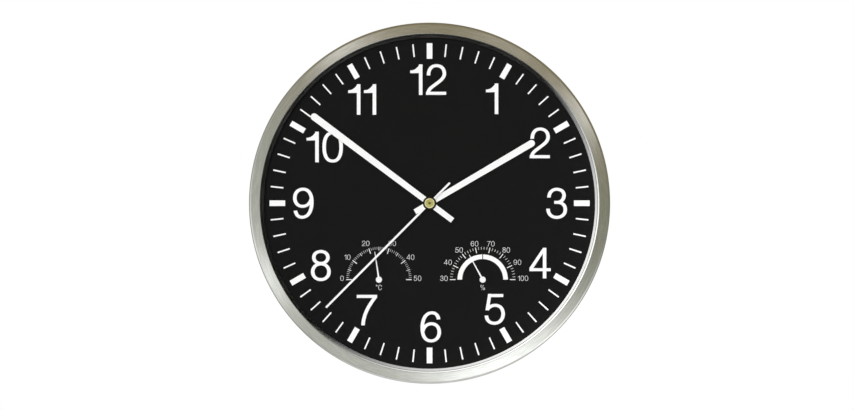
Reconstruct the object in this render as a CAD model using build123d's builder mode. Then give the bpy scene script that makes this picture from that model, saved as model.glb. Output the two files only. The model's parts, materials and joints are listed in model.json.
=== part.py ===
from build123d import *
import math
import os

# Wall clock with a thermometer and a hygrometer in its dial, in millimetres.
# The wall is the plane y = 0, the dial faces -Y and +Z is up. The origin is the nail that the clock
# hangs from, where it leaves the wall. Height is the distance from the wall towards the viewer, and
# x and z of a piece are measured from the arbor of the hands.

# Fits
run_gap = 0.06
press_gap = 0.02
fit_gap = 0.25

# Rim of spun sheet metal, with tabs bent over the back cover
rim_diameter = 300.0
case_depth = 40.0
rim_sheet = 0.9
rim_band = 9.6
rim_fall = 1.6
rim_corner = 1.8
lip_depth = 4.2
lip_draft = 0.6
lip_edge = 1.2
tab_count = 6
tab_width = 12.0
tab_reach = 5.4
tab_height = 2.4

# Glass, its seal and the ring that spaces it from the dial
seal_thickness = 0.5
seal_width = 3.0
glass_thickness = 2.0
glass_chamfer = 0.4
spacer_wall = 2.0
spacer_base = 1.6
spacer_draft = 0.8
spacer_step = 0.3

# Dial
dial_thickness = 0.8
spindle_hole_gap = 0.6

# Back cover
cover_wall = 3.0
cover_plate = 2.2
cover_recess = 3.0
window_gap = 0.8
window_corner = 4.0
collar_wall = 1.6
collar_height = 3.4
rib_count = 8
rib_thickness = 1.6
rib_height = 3.0
rib_inner_radius = 50.0
hanger_above_arbor = 104.0
nail_slot_width = 5.0
nail_drop = 9.0
nail_head_bore = 10.0
vent_count = 5
vent_width = 2.4
vent_length = 24.0
vent_pitch = 5.2

# Movement housing and battery
moulding = 1.4
battery_diameter = 14.5
battery_length = 50.5
battery_nub_diameter = 5.4
battery_nub = 1.4
battery_gap = 0.3
contact_sheet = 0.4
contact_width = 8.0
contact_arm = 3.0
contact_bow = 1.9
contact_slot_gap = 0.2
ridge_length = 10.0
ridge_spacing = 30.0
ridge_reach = 1.0
ridge_height = 1.2
finger_notch_width = 18.0
finger_notch_depth = 6.5
finger_notch_corner = 3.0
train_room_above = 26.6
train_room_below = 10.1
housing_corner = 3.0
pivot_depth = 0.8
boss_wall = 0.8
boss_gap = 0.4
post_radius = 1.2

# Bush, washers and nut that hold the movement to the dial
bush_wall = 1.1
bush_flange = 0.8
bush_flange_rim = 1.4
bush_spare = 0.4
rubber_thickness = 1.0
rubber_radius = 9.0
washer_thickness = 0.4
washer_radius = 4.9
nut_thickness = 1.8
nut_across_flats = 8.4

# Gear train
second_arbor_radius = 0.6
pipe_wall = 0.7
wheel_arbor_radius = 0.5
rotor_shaft_radius = 0.4
stud_radius = 0.4
setting_arbor_radius = 0.9
gear_thickness = 0.8
layer_gap = 0.35
arbor_clearance = 0.4
web_recess = 0.2
web_rim = 0.9
web_hub = 0.9
cannon_teeth = 12
setting_teeth = 36
setting_pinion_teeth = 10
hour_teeth = 40
third_pinion_teeth = 8
minute_teeth = 64
second_pinion_teeth = 8
third_teeth = 60
reduction_pinion_teeth = 8
second_teeth = 40
rotor_pinion_teeth = 8
reduction_teeth = 48
third_module = 0.25
reduction_module = 0.30
third_bearing = 110.0

# Stepping motor and circuit
magnet_radius = 2.2
magnet_length = 2.0
air_gap = 0.4
stator_thickness = 0.8
stator_edge_gap = 2.1
stator_gap = 0.6
pole_width = 8.4
leg_width = 2.7
bridge = 0.7
coil_above_arbor = 18.5
core_width = 3.2
bobbin_wall = 0.5
bobbin_flange_radius = 3.6
winding_radius = 3.0
board_thickness = 1.0
board_width = 28.0
board_height = 13.7
board_arm = 3.0
board_behind_stator = 1.4
crystal_radius = 1.0
crystal_length = 6.2
chip_radius = 3.0
chip_height = 1.2
chip_crown = 1.6

# Setting knob
knob_radius = 5.5
knob_thickness = 3.2
knob_gap = 0.4
knob_skin = 0.8
knob_groove_radius = 0.5
knob_grooves = 20

# Hands
hub_radius = 4.2
hub_height = 0.9
hand_gap = 0.4
hand_sheet = 0.5
hour_edge_gap = 36.2
hour_tail = 14.2
hour_width = 4.4
hour_tip_width = 5.7
hour_angle = 59.6
minute_edge_gap = 16.2
minute_tail = 24.0
minute_width = 4.6
minute_tip_width = 5.9
minute_angle = 307.2
second_sheet = 0.35
second_edge_gap = 16.2
second_tail = 24.0
second_width = 1.9
second_angle = 224.8
collar_radius = 5.1
cap_radius = 4.4
cap_edge = 0.3
cap_height = 1.1
cap_bore_depth = 0.6
glass_clearance = 1.2

# Thermometer and hygrometer
thermometer_x = -42.4
hygrometer_x = 44.5
gauge_below_arbor = 64.0
thermometer_angle = -8.5
hygrometer_angle = -28.6
gauge_radius = 17.0
gauge_wall = 1.4
gauge_depth = 10.0
gauge_boss_radius = 2.4
gauge_boss_height = 2.6
spindle_radius = 0.6
collet_radius = 1.6
thermometer_strip = 4.0
hygrometer_strip = 3.2
strip_thickness = 0.4
strip_start_radius = 2.4
strip_pitch = 2.4
strip_half_turns = 8
anchor_radius = 0.8
pointer_length = 23.6
pointer_root_width = 1.5
pointer_tip_width = 0.5
pointer_sheet = 0.3
pointer_hub_radius = 2.6
pointer_hub_height = 0.8
pointer_gap = 0.8

# Tooth form in modules, measured from the pitch circle, with half widths as shares of the pitch
wheel_tooth = ((-1.25, 0.25), (0.0, 0.215), (0.95, 0.065))
pinion_tooth = ((-1.25, 0.195), (0.0, 0.195), (0.85, 0.055))
wheel_addendum = wheel_tooth[-1][0]

# Radii of the case
rim_radius = rim_diameter / 2
aperture_radius = rim_radius - rim_band
seat_radius = rim_radius - rim_sheet - fit_gap
glass_radius = seat_radius - spacer_wall - fit_gap
lip_radius = aperture_radius - lip_draft
spacer_front_radius = lip_radius - spacer_step
spacer_back_radius = spacer_front_radius - spacer_draft

# Reach of the hands, short of the edge of the dial that shows
hour_length = spacer_back_radius - hour_edge_gap
minute_length = spacer_back_radius - minute_edge_gap
second_length = spacer_back_radius - second_edge_gap

# Heights from the wall, front to back
lip_end = case_depth - lip_depth
glass_front = lip_end - seal_thickness
glass_back = glass_front - glass_thickness
bush_rise = washer_thickness + nut_thickness + bush_spare
hour_rise = bush_rise + hand_gap
minute_rise = hour_rise + hub_height + hand_gap
second_rise = minute_rise + hub_height + hand_gap
cap_rise = second_rise + hub_height + second_sheet
dial_front = glass_back - glass_clearance - cap_rise - cap_height
dial_back = dial_front - dial_thickness
movement_front = dial_back - rubber_thickness
movement_depth = moulding + battery_gap + battery_diameter + battery_gap
movement_back = movement_front - movement_depth
chamber_front = movement_front - moulding
chamber_back = movement_back + moulding
knob_front = movement_back - knob_gap
plate_front = cover_recess + cover_plate
collar_front = movement_back + collar_height

# Movement housing, seen from the front
bay_length = battery_length + contact_bow + 2 * contact_sheet
movement_half_width = bay_length / 2 + moulding
movement_top = train_room_above + moulding
divider_bottom = -train_room_below - moulding
battery_z = divider_bottom - battery_gap - battery_diameter / 2
bay_bottom = battery_z - battery_diameter / 2 - battery_gap
movement_bottom = bay_bottom - moulding
movement_height = movement_top - movement_bottom
movement_middle = (movement_top + movement_bottom) / 2

# Coaxial tubes of the hands
minute_bore = second_arbor_radius + run_gap
minute_pipe_radius = minute_bore + pipe_wall
hour_bore = minute_pipe_radius + run_gap
hour_pipe_radius = hour_bore + pipe_wall
bush_bore = hour_pipe_radius + run_gap
bush_radius = bush_bore + bush_wall

# Modules and centres of the gears, where what turns past what sets the distance
third_distance = (third_pinion_teeth + minute_teeth) * third_module / 2
second_module = 2 * third_distance / (second_pinion_teeth + third_teeth)
minute_tip = (minute_teeth / 2 + wheel_addendum) * third_module
setting_distance = minute_tip + arbor_clearance + setting_arbor_radius
cannon_module = 2 * setting_distance / (cannon_teeth + setting_teeth)
hour_module = 2 * setting_distance / (setting_pinion_teeth + hour_teeth)
reduction_distance = (reduction_pinion_teeth + second_teeth) * reduction_module / 2
reduction_tip = reduction_distance - second_arbor_radius - arbor_clearance
rotor_module = reduction_tip / (reduction_teeth / 2 + wheel_addendum)
rotor_distance = (rotor_pinion_teeth + reduction_teeth) * rotor_module / 2
third_x = third_distance * math.cos(math.radians(third_bearing))
third_z = third_distance * math.sin(math.radians(third_bearing))
setting_x = -setting_distance
reduction_x = reduction_distance
rotor_x = reduction_x + rotor_distance

# Depths in the movement: layers of gears, then the motor behind them
layer_pitch = gear_thickness + layer_gap
hour_layer, cannon_layer, minute_layer, third_layer, second_layer, reduction_layer = (
    chamber_front - bush_flange - layer_gap - gear_thickness - step * layer_pitch for step in range(6)
)
magnet_back = reduction_layer - boss_gap - magnet_length
stator_back = magnet_back + magnet_length / 2 - stator_thickness / 2
stator_front = stator_back + stator_thickness
stator_left = reduction_x + stud_radius + boss_wall + stator_gap
board_right = bay_length / 2 - contact_sheet - contact_slot_gap
board_left = -board_right
stator_right = board_right - stator_edge_gap
stator_width = stator_right - stator_left
core_middle = stator_front + stator_thickness / 2
board_front = stator_back - board_behind_stator + board_thickness
board_back = board_front - board_thickness
coil_left = stator_left + leg_width
coil_right = stator_right - leg_width


def facing(x, z, height):
    """Plane that faces the viewer, with its origin at x and z from the arbor."""
    return Plane(origin=(x, -height, z - hanger_above_arbor), x_dir=(1, 0, 0), z_dir=(0, -1, 0))


def along(angle, height, x=0.0, z=0.0):
    """Plane that faces the viewer, with its x axis along a hand at a clockwise angle from twelve."""
    turn = math.radians(angle)
    direction = (math.sin(turn), 0, math.cos(turn))
    return Plane(origin=(x, -height, z - hanger_above_arbor), x_dir=direction, z_dir=(0, -1, 0))


def section(x=0.0, z=0.0):
    """Plane through an axis at x and z, where local x is the radius and local y the height."""
    return Plane(origin=(x, 0, z - hanger_above_arbor), x_dir=(1, 0, 0), z_dir=(0, 0, -1))


def across(x):
    """Plane square to X, where local x is z from the arbor and local y the height."""
    return Plane(origin=(x, 0, -hanger_above_arbor), x_dir=(0, 0, 1), z_dir=(1, 0, 0))


def axis_at(x=0.0, z=0.0):
    """Axis square to the wall, through x and z from the arbor."""
    return Axis((x, 0, z - hanger_above_arbor), (0, 1, 0))


def gear_points(teeth, module, form, middle):
    """Outline of a gear that has a tooth's middle at the given angle."""
    pitch = 2 * math.pi / teeth
    flank = [(module * (teeth / 2 + rise), half * pitch) for rise, half in form]
    points = []
    for tooth in range(teeth):
        centre = math.radians(middle) + tooth * pitch
        for radius, half in flank:
            points.append((radius * math.cos(centre - half), radius * math.sin(centre - half)))
        for radius, half in reversed(flank):
            points.append((radius * math.cos(centre + half), radius * math.sin(centre + half)))
    return points


def wheel_points(teeth, module, towards):
    """Wheel with a gap, half a pitch from a tooth, towards its pinion."""
    return gear_points(teeth, module, wheel_tooth, towards + 180 / teeth)


def pinion_points(teeth, module, towards):
    """Pinion with a tooth towards its wheel."""
    return gear_points(teeth, module, pinion_tooth, towards)


def web_radius(teeth, module):
    """Outer radius of a wheel's thin web, inside the rim that carries its teeth."""
    return module * (teeth / 2 + wheel_tooth[0][0]) - web_rim


os.makedirs("parts", exist_ok=True)

# Bezel ring: outer wall, sloping brushed band and inner lip in one spun section, with six bent tabs
band_slope = rim_fall / rim_band
lip_slope = lip_draft / lip_depth
outer_corner = (rim_radius, case_depth - rim_fall)
aperture_corner = (aperture_radius, case_depth)
inside_outer = (rim_radius - rim_sheet, case_depth - rim_fall - rim_sheet + band_slope * rim_sheet)
inside_aperture = (
    aperture_radius + rim_sheet - lip_slope * rim_sheet,
    case_depth - rim_sheet - band_slope * rim_sheet,
)
with BuildPart() as bezel_ring:
    with BuildSketch(section()) as rim_section:
        Polygon(
            (rim_radius, tab_height),
            outer_corner,
            aperture_corner,
            (lip_radius, lip_end),
            (lip_radius + rim_sheet, lip_end),
            inside_aperture,
            inside_outer,
            (rim_radius - rim_sheet, tab_height),
            align=None,
        )
        fillet(rim_section.vertices().sort_by_distance(outer_corner)[0], rim_corner)
        fillet(rim_section.vertices().sort_by_distance(inside_outer)[0], rim_corner - rim_sheet)
        fillet(rim_section.vertices().sort_by_distance(aperture_corner)[0], lip_edge)
    revolve(axis=axis_at())
    with BuildSketch(facing(0, 0, tab_height - rim_sheet)):
        with PolarLocations(rim_radius - tab_reach / 2, tab_count, start_angle=180 / tab_count):
            Rectangle(tab_reach + rim_sheet, tab_width)
        Circle(rim_radius, mode=Mode.INTERSECT)
    extrude(amount=rim_sheet)
bezel_ring.part.label = "bezel_ring"
export_step(bezel_ring.part, "parts/bezel_ring.step")

# Seal between the lip and the glass
with BuildPart() as glass_seal:
    with BuildSketch(facing(0, 0, glass_front)):
        Circle(lip_radius + seal_width)
        Circle(lip_radius, mode=Mode.SUBTRACT)
    extrude(amount=seal_thickness)
glass_seal.part.label = "glass_seal"
export_step(glass_seal.part, "parts/glass_seal.step")

# Front glass with ground edges
with BuildPart() as front_glass:
    with BuildSketch(facing(0, 0, glass_back)):
        Circle(glass_radius)
    extrude(amount=glass_thickness)
    chamfer(front_glass.edges().filter_by(GeomType.CIRCLE), glass_chamfer)
front_glass.part.label = "front_glass"
export_step(front_glass.part, "parts/front_glass.step")

# Spacer ring: tapered bright wall, base on the dial and an outer wall round the glass
with BuildPart() as spacer_ring:
    with BuildSketch(section()):
        Polygon(
            (spacer_back_radius, dial_front),
            (spacer_front_radius, glass_back),
            (spacer_front_radius + spacer_wall, glass_back),
            (spacer_front_radius + spacer_wall, dial_front + spacer_base),
            (seat_radius - spacer_wall, dial_front + spacer_base),
            (seat_radius - spacer_wall, glass_front),
            (seat_radius, glass_front),
            (seat_radius, dial_front),
            align=None,
        )
    revolve(axis=axis_at())
spacer_ring.part.label = "spacer_ring"
export_step(spacer_ring.part, "parts/spacer_ring.step")

# Dial plate with holes for the bush and the two gauge spindles
with BuildPart() as dial_plate:
    with BuildSketch(facing(0, 0, dial_back)):
        Circle(seat_radius)
        Circle(bush_radius + fit_gap, mode=Mode.SUBTRACT)
        with Locations((thermometer_x, -gauge_below_arbor), (hygrometer_x, -gauge_below_arbor)):
            Circle(spindle_radius + spindle_hole_gap, mode=Mode.SUBTRACT)
    extrude(amount=dial_thickness)
dial_plate.part.label = "dial_plate"
export_step(dial_plate.part, "parts/dial_plate.step")

# Back cover: moulded pan with a foot ring, movement window, vents, keyhole and ribs
window_width = 2 * (movement_half_width + window_gap)
window_height = movement_height + 2 * window_gap
cover_inner_radius = seat_radius - cover_wall
rib_length = cover_inner_radius - rib_inner_radius
with BuildPart() as back_cover:
    with BuildSketch(section()):
        Polygon(
            (0, cover_recess),
            (cover_inner_radius, cover_recess),
            (cover_inner_radius, 0),
            (seat_radius, 0),
            (seat_radius, dial_back),
            (cover_inner_radius, dial_back),
            (cover_inner_radius, plate_front),
            (0, plate_front),
            align=None,
        )
    revolve(axis=axis_at())
    with BuildSketch(facing(0, movement_middle, cover_recess)):
        RectangleRounded(window_width + 2 * collar_wall, window_height + 2 * collar_wall, window_corner)
    extrude(amount=collar_front - cover_recess)
    with BuildSketch(facing(0, 0, plate_front)):
        with PolarLocations(rib_inner_radius + rib_length / 2, rib_count, start_angle=180 / rib_count):
            Rectangle(rib_length + fit_gap, rib_thickness)
    extrude(amount=rib_height)
    with BuildSketch(facing(0, movement_middle, cover_recess)):
        RectangleRounded(window_width, window_height, window_corner)
    extrude(amount=movement_depth, both=True, mode=Mode.SUBTRACT)
    with BuildSketch(facing(0, hanger_above_arbor, cover_recess)):
        with Locations((0, -nail_drop)):
            Circle(nail_head_bore / 2)
        with Locations((0, -nail_drop / 2)):
            SlotCenterToCenter(nail_drop, nail_slot_width, rotation=90)
    extrude(amount=cover_plate, mode=Mode.SUBTRACT)
    for gauge_x in (thermometer_x, hygrometer_x):
        with BuildSketch(facing(gauge_x, -gauge_below_arbor, cover_recess)):
            with GridLocations(vent_pitch, 0, vent_count, 1):
                SlotOverall(vent_length, vent_width, rotation=90)
        extrude(amount=cover_plate, mode=Mode.SUBTRACT)
    with BuildSketch(facing(0, 0, 0)):
        with PolarLocations(seat_radius, tab_count, start_angle=180 / tab_count):
            Rectangle(2 * cover_wall + fit_gap, tab_width + 2 * fit_gap)
    extrude(amount=tab_height, mode=Mode.SUBTRACT)
back_cover.part.label = "back_cover"
export_step(back_cover.part, "parts/back_cover.step")

# Movement case: tray for the gear train above, battery bay with ridges and a finger notch below
chamber_height = train_room_above + train_room_below
chamber_middle = (train_room_above - train_room_below) / 2
bay_height = divider_bottom - bay_bottom
bay_middle = (divider_bottom + bay_bottom) / 2
contact_front = movement_front - moulding - battery_gap - battery_diameter / 2 + contact_width / 2
contact_back = contact_front - contact_width
arm_front = contact_back + contact_arm
pivots = (
    (setting_x, 0, setting_arbor_radius),
    (third_x, third_z, wheel_arbor_radius),
    (rotor_x, 0, rotor_shaft_radius),
)
with BuildPart() as movement_case:
    with BuildSketch(facing(0, movement_middle, movement_back)):
        RectangleRounded(2 * movement_half_width, movement_height, housing_corner)
    extrude(amount=movement_depth)
    with BuildSketch(facing(0, chamber_middle, movement_back)):
        Rectangle(bay_length, chamber_height)
    extrude(amount=movement_depth - moulding, mode=Mode.SUBTRACT)
    with BuildSketch(facing(0, bay_middle, movement_back)):
        Rectangle(bay_length, bay_height)
    extrude(amount=movement_depth - moulding, mode=Mode.SUBTRACT)
    with BuildSketch(facing(0, (divider_bottom + movement_top) / 2, movement_back)):
        Rectangle(2 * movement_half_width, movement_top - divider_bottom)
    extrude(amount=moulding, mode=Mode.SUBTRACT)
    with BuildSketch(facing(0, divider_bottom + moulding / 2, movement_back)):
        with GridLocations(bay_length - contact_sheet - contact_slot_gap, 0, 2, 1):
            Rectangle(contact_sheet + contact_slot_gap, moulding)
    extrude(amount=arm_front + contact_slot_gap - movement_back, mode=Mode.SUBTRACT)
    for ridge_x in (-ridge_spacing / 2, ridge_spacing / 2):
        for wall_z, reach in ((divider_bottom, -ridge_reach), (bay_bottom, ridge_reach)):
            with BuildSketch(across(ridge_x - ridge_length / 2)):
                Polygon(
                    (wall_z, chamber_back),
                    (wall_z + reach, chamber_back + ridge_height / 2),
                    (wall_z, chamber_back + ridge_height),
                    align=None,
                )
            extrude(amount=ridge_length)
    with BuildSketch(section(0, bay_bottom)):
        with Locations((0, movement_back)):
            RectangleRounded(finger_notch_width, 2 * finger_notch_depth, finger_notch_corner)
    extrude(amount=moulding, mode=Mode.SUBTRACT)
    with BuildSketch(facing(0, 0, chamber_front)):
        Circle(bush_radius + press_gap)
    extrude(amount=moulding, mode=Mode.SUBTRACT)
    for pivot_x, pivot_z, pivot_radius in pivots:
        with BuildSketch(facing(pivot_x, pivot_z, chamber_front)):
            Circle(pivot_radius + run_gap)
        extrude(amount=pivot_depth + run_gap, mode=Mode.SUBTRACT)
movement_case.part.label = "movement_case"
export_step(movement_case.part, "parts/movement_case.step")

# Movement cover: plate with bearing bosses, the reduction wheel's stud and posts for motor and board
second_boss_front = reduction_layer - boss_gap
third_boss_front = third_layer - boss_gap
rotor_boss_front = magnet_back - boss_gap
post_z = coil_above_arbor / 2
board_top = train_room_above - battery_gap
board_bottom = board_top - board_height
bearings = (
    (0, 0, second_arbor_radius, second_boss_front),
    (third_x, third_z, wheel_arbor_radius, third_boss_front),
    (rotor_x, 0, rotor_shaft_radius, rotor_boss_front),
)
posts = (
    (stator_left + leg_width / 2, post_z, stator_back),
    (stator_right - leg_width / 2, post_z, stator_back),
    (board_left + 2 * post_radius, board_bottom + 2 * post_radius, board_back),
    (board_left + board_width - 2 * post_radius, board_bottom + 2 * post_radius, board_back),
)
with BuildPart() as movement_cover:
    with BuildSketch(facing(0, movement_middle, movement_back)):
        RectangleRounded(2 * movement_half_width, movement_height, housing_corner)
        with Locations((0, movement_bottom - movement_middle)):
            Rectangle(
                2 * movement_half_width,
                2 * (divider_bottom + fit_gap - movement_bottom),
                mode=Mode.SUBTRACT,
            )
    extrude(amount=moulding)
    for boss_x, boss_z, bore_radius, boss_front in bearings:
        with BuildSketch(facing(boss_x, boss_z, chamber_back)):
            Circle(bore_radius + run_gap + boss_wall)
        extrude(amount=boss_front - chamber_back)
        with BuildSketch(facing(boss_x, boss_z, boss_front)):
            Circle(bore_radius + run_gap)
        extrude(amount=-pivot_depth - boss_gap - run_gap, mode=Mode.SUBTRACT)
    with BuildSketch(facing(reduction_x, 0, chamber_back)):
        Circle(stud_radius + boss_wall)
    extrude(amount=second_boss_front - chamber_back)
    with BuildSketch(facing(reduction_x, 0, second_boss_front)):
        Circle(stud_radius)
    extrude(amount=second_layer + gear_thickness - second_boss_front)
    for post_x, post_height_z, post_front in posts:
        with BuildSketch(facing(post_x, post_height_z, chamber_back)):
            Circle(post_radius)
        extrude(amount=post_front - chamber_back)
    with BuildSketch(facing(setting_x, 0, movement_back)):
        Circle(setting_arbor_radius + run_gap)
    extrude(amount=moulding, mode=Mode.SUBTRACT)
movement_cover.part.label = "movement_cover"
export_step(movement_cover.part, "parts/movement_cover.step")

# Centre bush: flanged tube through movement case and dial
with BuildPart() as centre_bush:
    with BuildSketch(facing(0, 0, chamber_front - bush_flange)):
        Circle(bush_radius + bush_flange_rim)
    extrude(amount=bush_flange)
    with BuildSketch(facing(0, 0, chamber_front)):
        Circle(bush_radius)
    extrude(amount=dial_front + bush_rise - chamber_front)
    with BuildSketch(facing(0, 0, chamber_front - bush_flange)):
        Circle(bush_bore)
    extrude(amount=dial_front + bush_rise - chamber_front + bush_flange, mode=Mode.SUBTRACT)
centre_bush.part.label = "centre_bush"
export_step(centre_bush.part, "parts/centre_bush.step")

# Rubber washer behind the dial, metal washer and hexagon nut in front of it
with BuildPart() as rubber_washer:
    with BuildSketch(facing(0, 0, movement_front)):
        Circle(rubber_radius)
        Circle(bush_radius + press_gap, mode=Mode.SUBTRACT)
    extrude(amount=rubber_thickness)
rubber_washer.part.label = "rubber_washer"
export_step(rubber_washer.part, "parts/rubber_washer.step")

with BuildPart() as dial_washer:
    with BuildSketch(facing(0, 0, dial_front)):
        Circle(washer_radius)
        Circle(bush_radius + press_gap, mode=Mode.SUBTRACT)
    extrude(amount=washer_thickness)
dial_washer.part.label = "dial_washer"
export_step(dial_washer.part, "parts/dial_washer.step")

with BuildPart() as fixing_nut:
    with BuildSketch(facing(0, 0, dial_front + washer_thickness)):
        RegularPolygon(nut_across_flats / 2, 6, major_radius=False)
        Circle(bush_radius + press_gap, mode=Mode.SUBTRACT)
    extrude(amount=nut_thickness)
fixing_nut.part.label = "fixing_nut"
export_step(fixing_nut.part, "parts/fixing_nut.step")

# Hour wheel on its pipe
with BuildPart() as hour_wheel:
    with BuildSketch(facing(0, 0, hour_layer)):
        Polygon(*wheel_points(hour_teeth, hour_module, 180), align=None)
    extrude(amount=gear_thickness)
    with BuildSketch(facing(0, 0, hour_layer)):
        Circle(hour_pipe_radius)
    extrude(amount=dial_front + hour_rise + hub_height - hour_layer)
    with BuildSketch(facing(0, 0, hour_layer)):
        Circle(hour_bore)
    extrude(amount=dial_front + hour_rise + hub_height - hour_layer, mode=Mode.SUBTRACT)
    with BuildSketch(facing(0, 0, hour_layer)):
        Circle(web_radius(hour_teeth, hour_module))
        Circle(hour_pipe_radius + web_hub, mode=Mode.SUBTRACT)
    extrude(amount=web_recess, mode=Mode.SUBTRACT)
hour_wheel.part.label = "hour_wheel"
export_step(hour_wheel.part, "parts/hour_wheel.step")

# Minute wheel with the cannon pinion, on the minute pipe
with BuildPart() as minute_wheel:
    with BuildSketch(facing(0, 0, minute_layer)):
        Polygon(*wheel_points(minute_teeth, third_module, third_bearing), align=None)
    extrude(amount=gear_thickness)
    with BuildSketch(facing(0, 0, cannon_layer)):
        Polygon(*pinion_points(cannon_teeth, cannon_module, 180), align=None)
    extrude(amount=gear_thickness)
    with BuildSketch(facing(0, 0, minute_layer)):
        Circle(minute_pipe_radius)
    extrude(amount=dial_front + minute_rise + hub_height - minute_layer)
    with BuildSketch(facing(0, 0, minute_layer)):
        Circle(minute_bore)
    extrude(amount=dial_front + minute_rise + hub_height - minute_layer, mode=Mode.SUBTRACT)
    with BuildSketch(facing(0, 0, minute_layer)):
        Circle(web_radius(minute_teeth, third_module))
        Circle(minute_pipe_radius + web_hub, mode=Mode.SUBTRACT)
    extrude(amount=web_recess, mode=Mode.SUBTRACT)
minute_wheel.part.label = "minute_wheel"
export_step(minute_wheel.part, "parts/minute_wheel.step")

# Second wheel and pinion on the long second arbor
second_arbor_back = second_boss_front - pivot_depth
with BuildPart() as second_wheel:
    with BuildSketch(facing(0, 0, second_layer)):
        Polygon(*wheel_points(second_teeth, reduction_module, 0), align=None)
    extrude(amount=gear_thickness)
    with BuildSketch(facing(0, 0, third_layer)):
        Polygon(*pinion_points(second_pinion_teeth, second_module, third_bearing), align=None)
    extrude(amount=gear_thickness)
    with BuildSketch(facing(0, 0, second_arbor_back)):
        Circle(second_arbor_radius)
    extrude(amount=dial_front + cap_rise + cap_bore_depth - second_arbor_back)
    with BuildSketch(facing(0, 0, second_layer)):
        Circle(web_radius(second_teeth, reduction_module))
        Circle(second_arbor_radius + web_hub, mode=Mode.SUBTRACT)
    extrude(amount=web_recess, mode=Mode.SUBTRACT)
second_wheel.part.label = "second_wheel"
export_step(second_wheel.part, "parts/second_wheel.step")

# Third wheel and pinion, between the second pinion and the minute wheel
third_arbor_back = third_boss_front - pivot_depth
with BuildPart() as third_wheel:
    with BuildSketch(facing(third_x, third_z, third_layer)):
        Polygon(*wheel_points(third_teeth, second_module, third_bearing + 180), align=None)
    extrude(amount=gear_thickness)
    with BuildSketch(facing(third_x, third_z, minute_layer)):
        Polygon(*pinion_points(third_pinion_teeth, third_module, third_bearing + 180), align=None)
    extrude(amount=gear_thickness)
    with BuildSketch(facing(third_x, third_z, third_arbor_back)):
        Circle(wheel_arbor_radius)
    extrude(amount=chamber_front + pivot_depth - third_arbor_back)
    with BuildSketch(facing(third_x, third_z, third_layer)):
        Circle(web_radius(third_teeth, second_module))
        Circle(wheel_arbor_radius + web_hub, mode=Mode.SUBTRACT)
    extrude(amount=web_recess, mode=Mode.SUBTRACT)
third_wheel.part.label = "third_wheel"
export_step(third_wheel.part, "parts/third_wheel.step")

# Reduction wheel and pinion, turning on the stud of the cover
with BuildPart() as reduction_wheel:
    with BuildSketch(facing(reduction_x, 0, reduction_layer)):
        Polygon(*wheel_points(reduction_teeth, rotor_module, 0), align=None)
    extrude(amount=gear_thickness)
    with BuildSketch(facing(reduction_x, 0, reduction_layer)):
        Polygon(*pinion_points(reduction_pinion_teeth, reduction_module, 180), align=None)
    extrude(amount=second_layer + gear_thickness - reduction_layer)
    with BuildSketch(facing(reduction_x, 0, reduction_layer)):
        Circle(stud_radius + run_gap)
    extrude(amount=second_layer + gear_thickness - reduction_layer, mode=Mode.SUBTRACT)
    with BuildSketch(facing(reduction_x, 0, reduction_layer)):
        Circle(web_radius(reduction_teeth, rotor_module))
        Circle(stud_radius + boss_wall + web_hub, mode=Mode.SUBTRACT)
    extrude(amount=web_recess, mode=Mode.SUBTRACT)
reduction_wheel.part.label = "reduction_wheel"
export_step(reduction_wheel.part, "parts/reduction_wheel.step")

# Rotor: pinion on a shaft, with a ring magnet pressed on
rotor_shaft_back = rotor_boss_front - pivot_depth
with BuildPart() as rotor_pinion:
    with BuildSketch(facing(rotor_x, 0, reduction_layer)):
        Polygon(*pinion_points(rotor_pinion_teeth, rotor_module, 180), align=None)
    extrude(amount=gear_thickness)
    with BuildSketch(facing(rotor_x, 0, rotor_shaft_back)):
        Circle(rotor_shaft_radius)
    extrude(amount=chamber_front + pivot_depth - rotor_shaft_back)
rotor_pinion.part.label = "rotor_pinion"
export_step(rotor_pinion.part, "parts/rotor_pinion.step")

with BuildPart() as rotor_magnet:
    with BuildSketch(facing(rotor_x, 0, magnet_back)):
        Circle(magnet_radius)
        Circle(rotor_shaft_radius + press_gap, mode=Mode.SUBTRACT)
    extrude(amount=magnet_length)
rotor_magnet.part.label = "rotor_magnet"
export_step(rotor_magnet.part, "parts/rotor_magnet.step")

# Stator: pole plate round the rotor with two legs up to the coil
leg_top = coil_above_arbor + core_width / 2
bridge_notch = pole_width / 2 - magnet_radius - air_gap - bridge
with BuildPart() as stator:
    with BuildSketch(facing(0, 0, stator_back)):
        with Locations(((stator_left + stator_right) / 2, 0)):
            Rectangle(stator_width, pole_width)
        for leg_x in (stator_left + leg_width / 2, stator_right - leg_width / 2):
            with Locations((leg_x, leg_top / 2)):
                Rectangle(leg_width, leg_top)
        with Locations((rotor_x, 0)):
            Circle(magnet_radius + air_gap, mode=Mode.SUBTRACT)
        with Locations((rotor_x, pole_width / 2), (rotor_x, -pole_width / 2)):
            Circle(bridge_notch, mode=Mode.SUBTRACT)
    extrude(amount=stator_thickness)
stator.part.label = "stator"
export_step(stator.part, "parts/stator.step")

# Coil core across the legs, its bobbin and the winding
with BuildPart() as coil_core:
    with BuildSketch(facing((stator_left + stator_right) / 2, coil_above_arbor, stator_front)):
        Rectangle(stator_width, core_width)
    extrude(amount=stator_thickness)
coil_core.part.label = "coil_core"
export_step(coil_core.part, "parts/coil_core.step")

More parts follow.
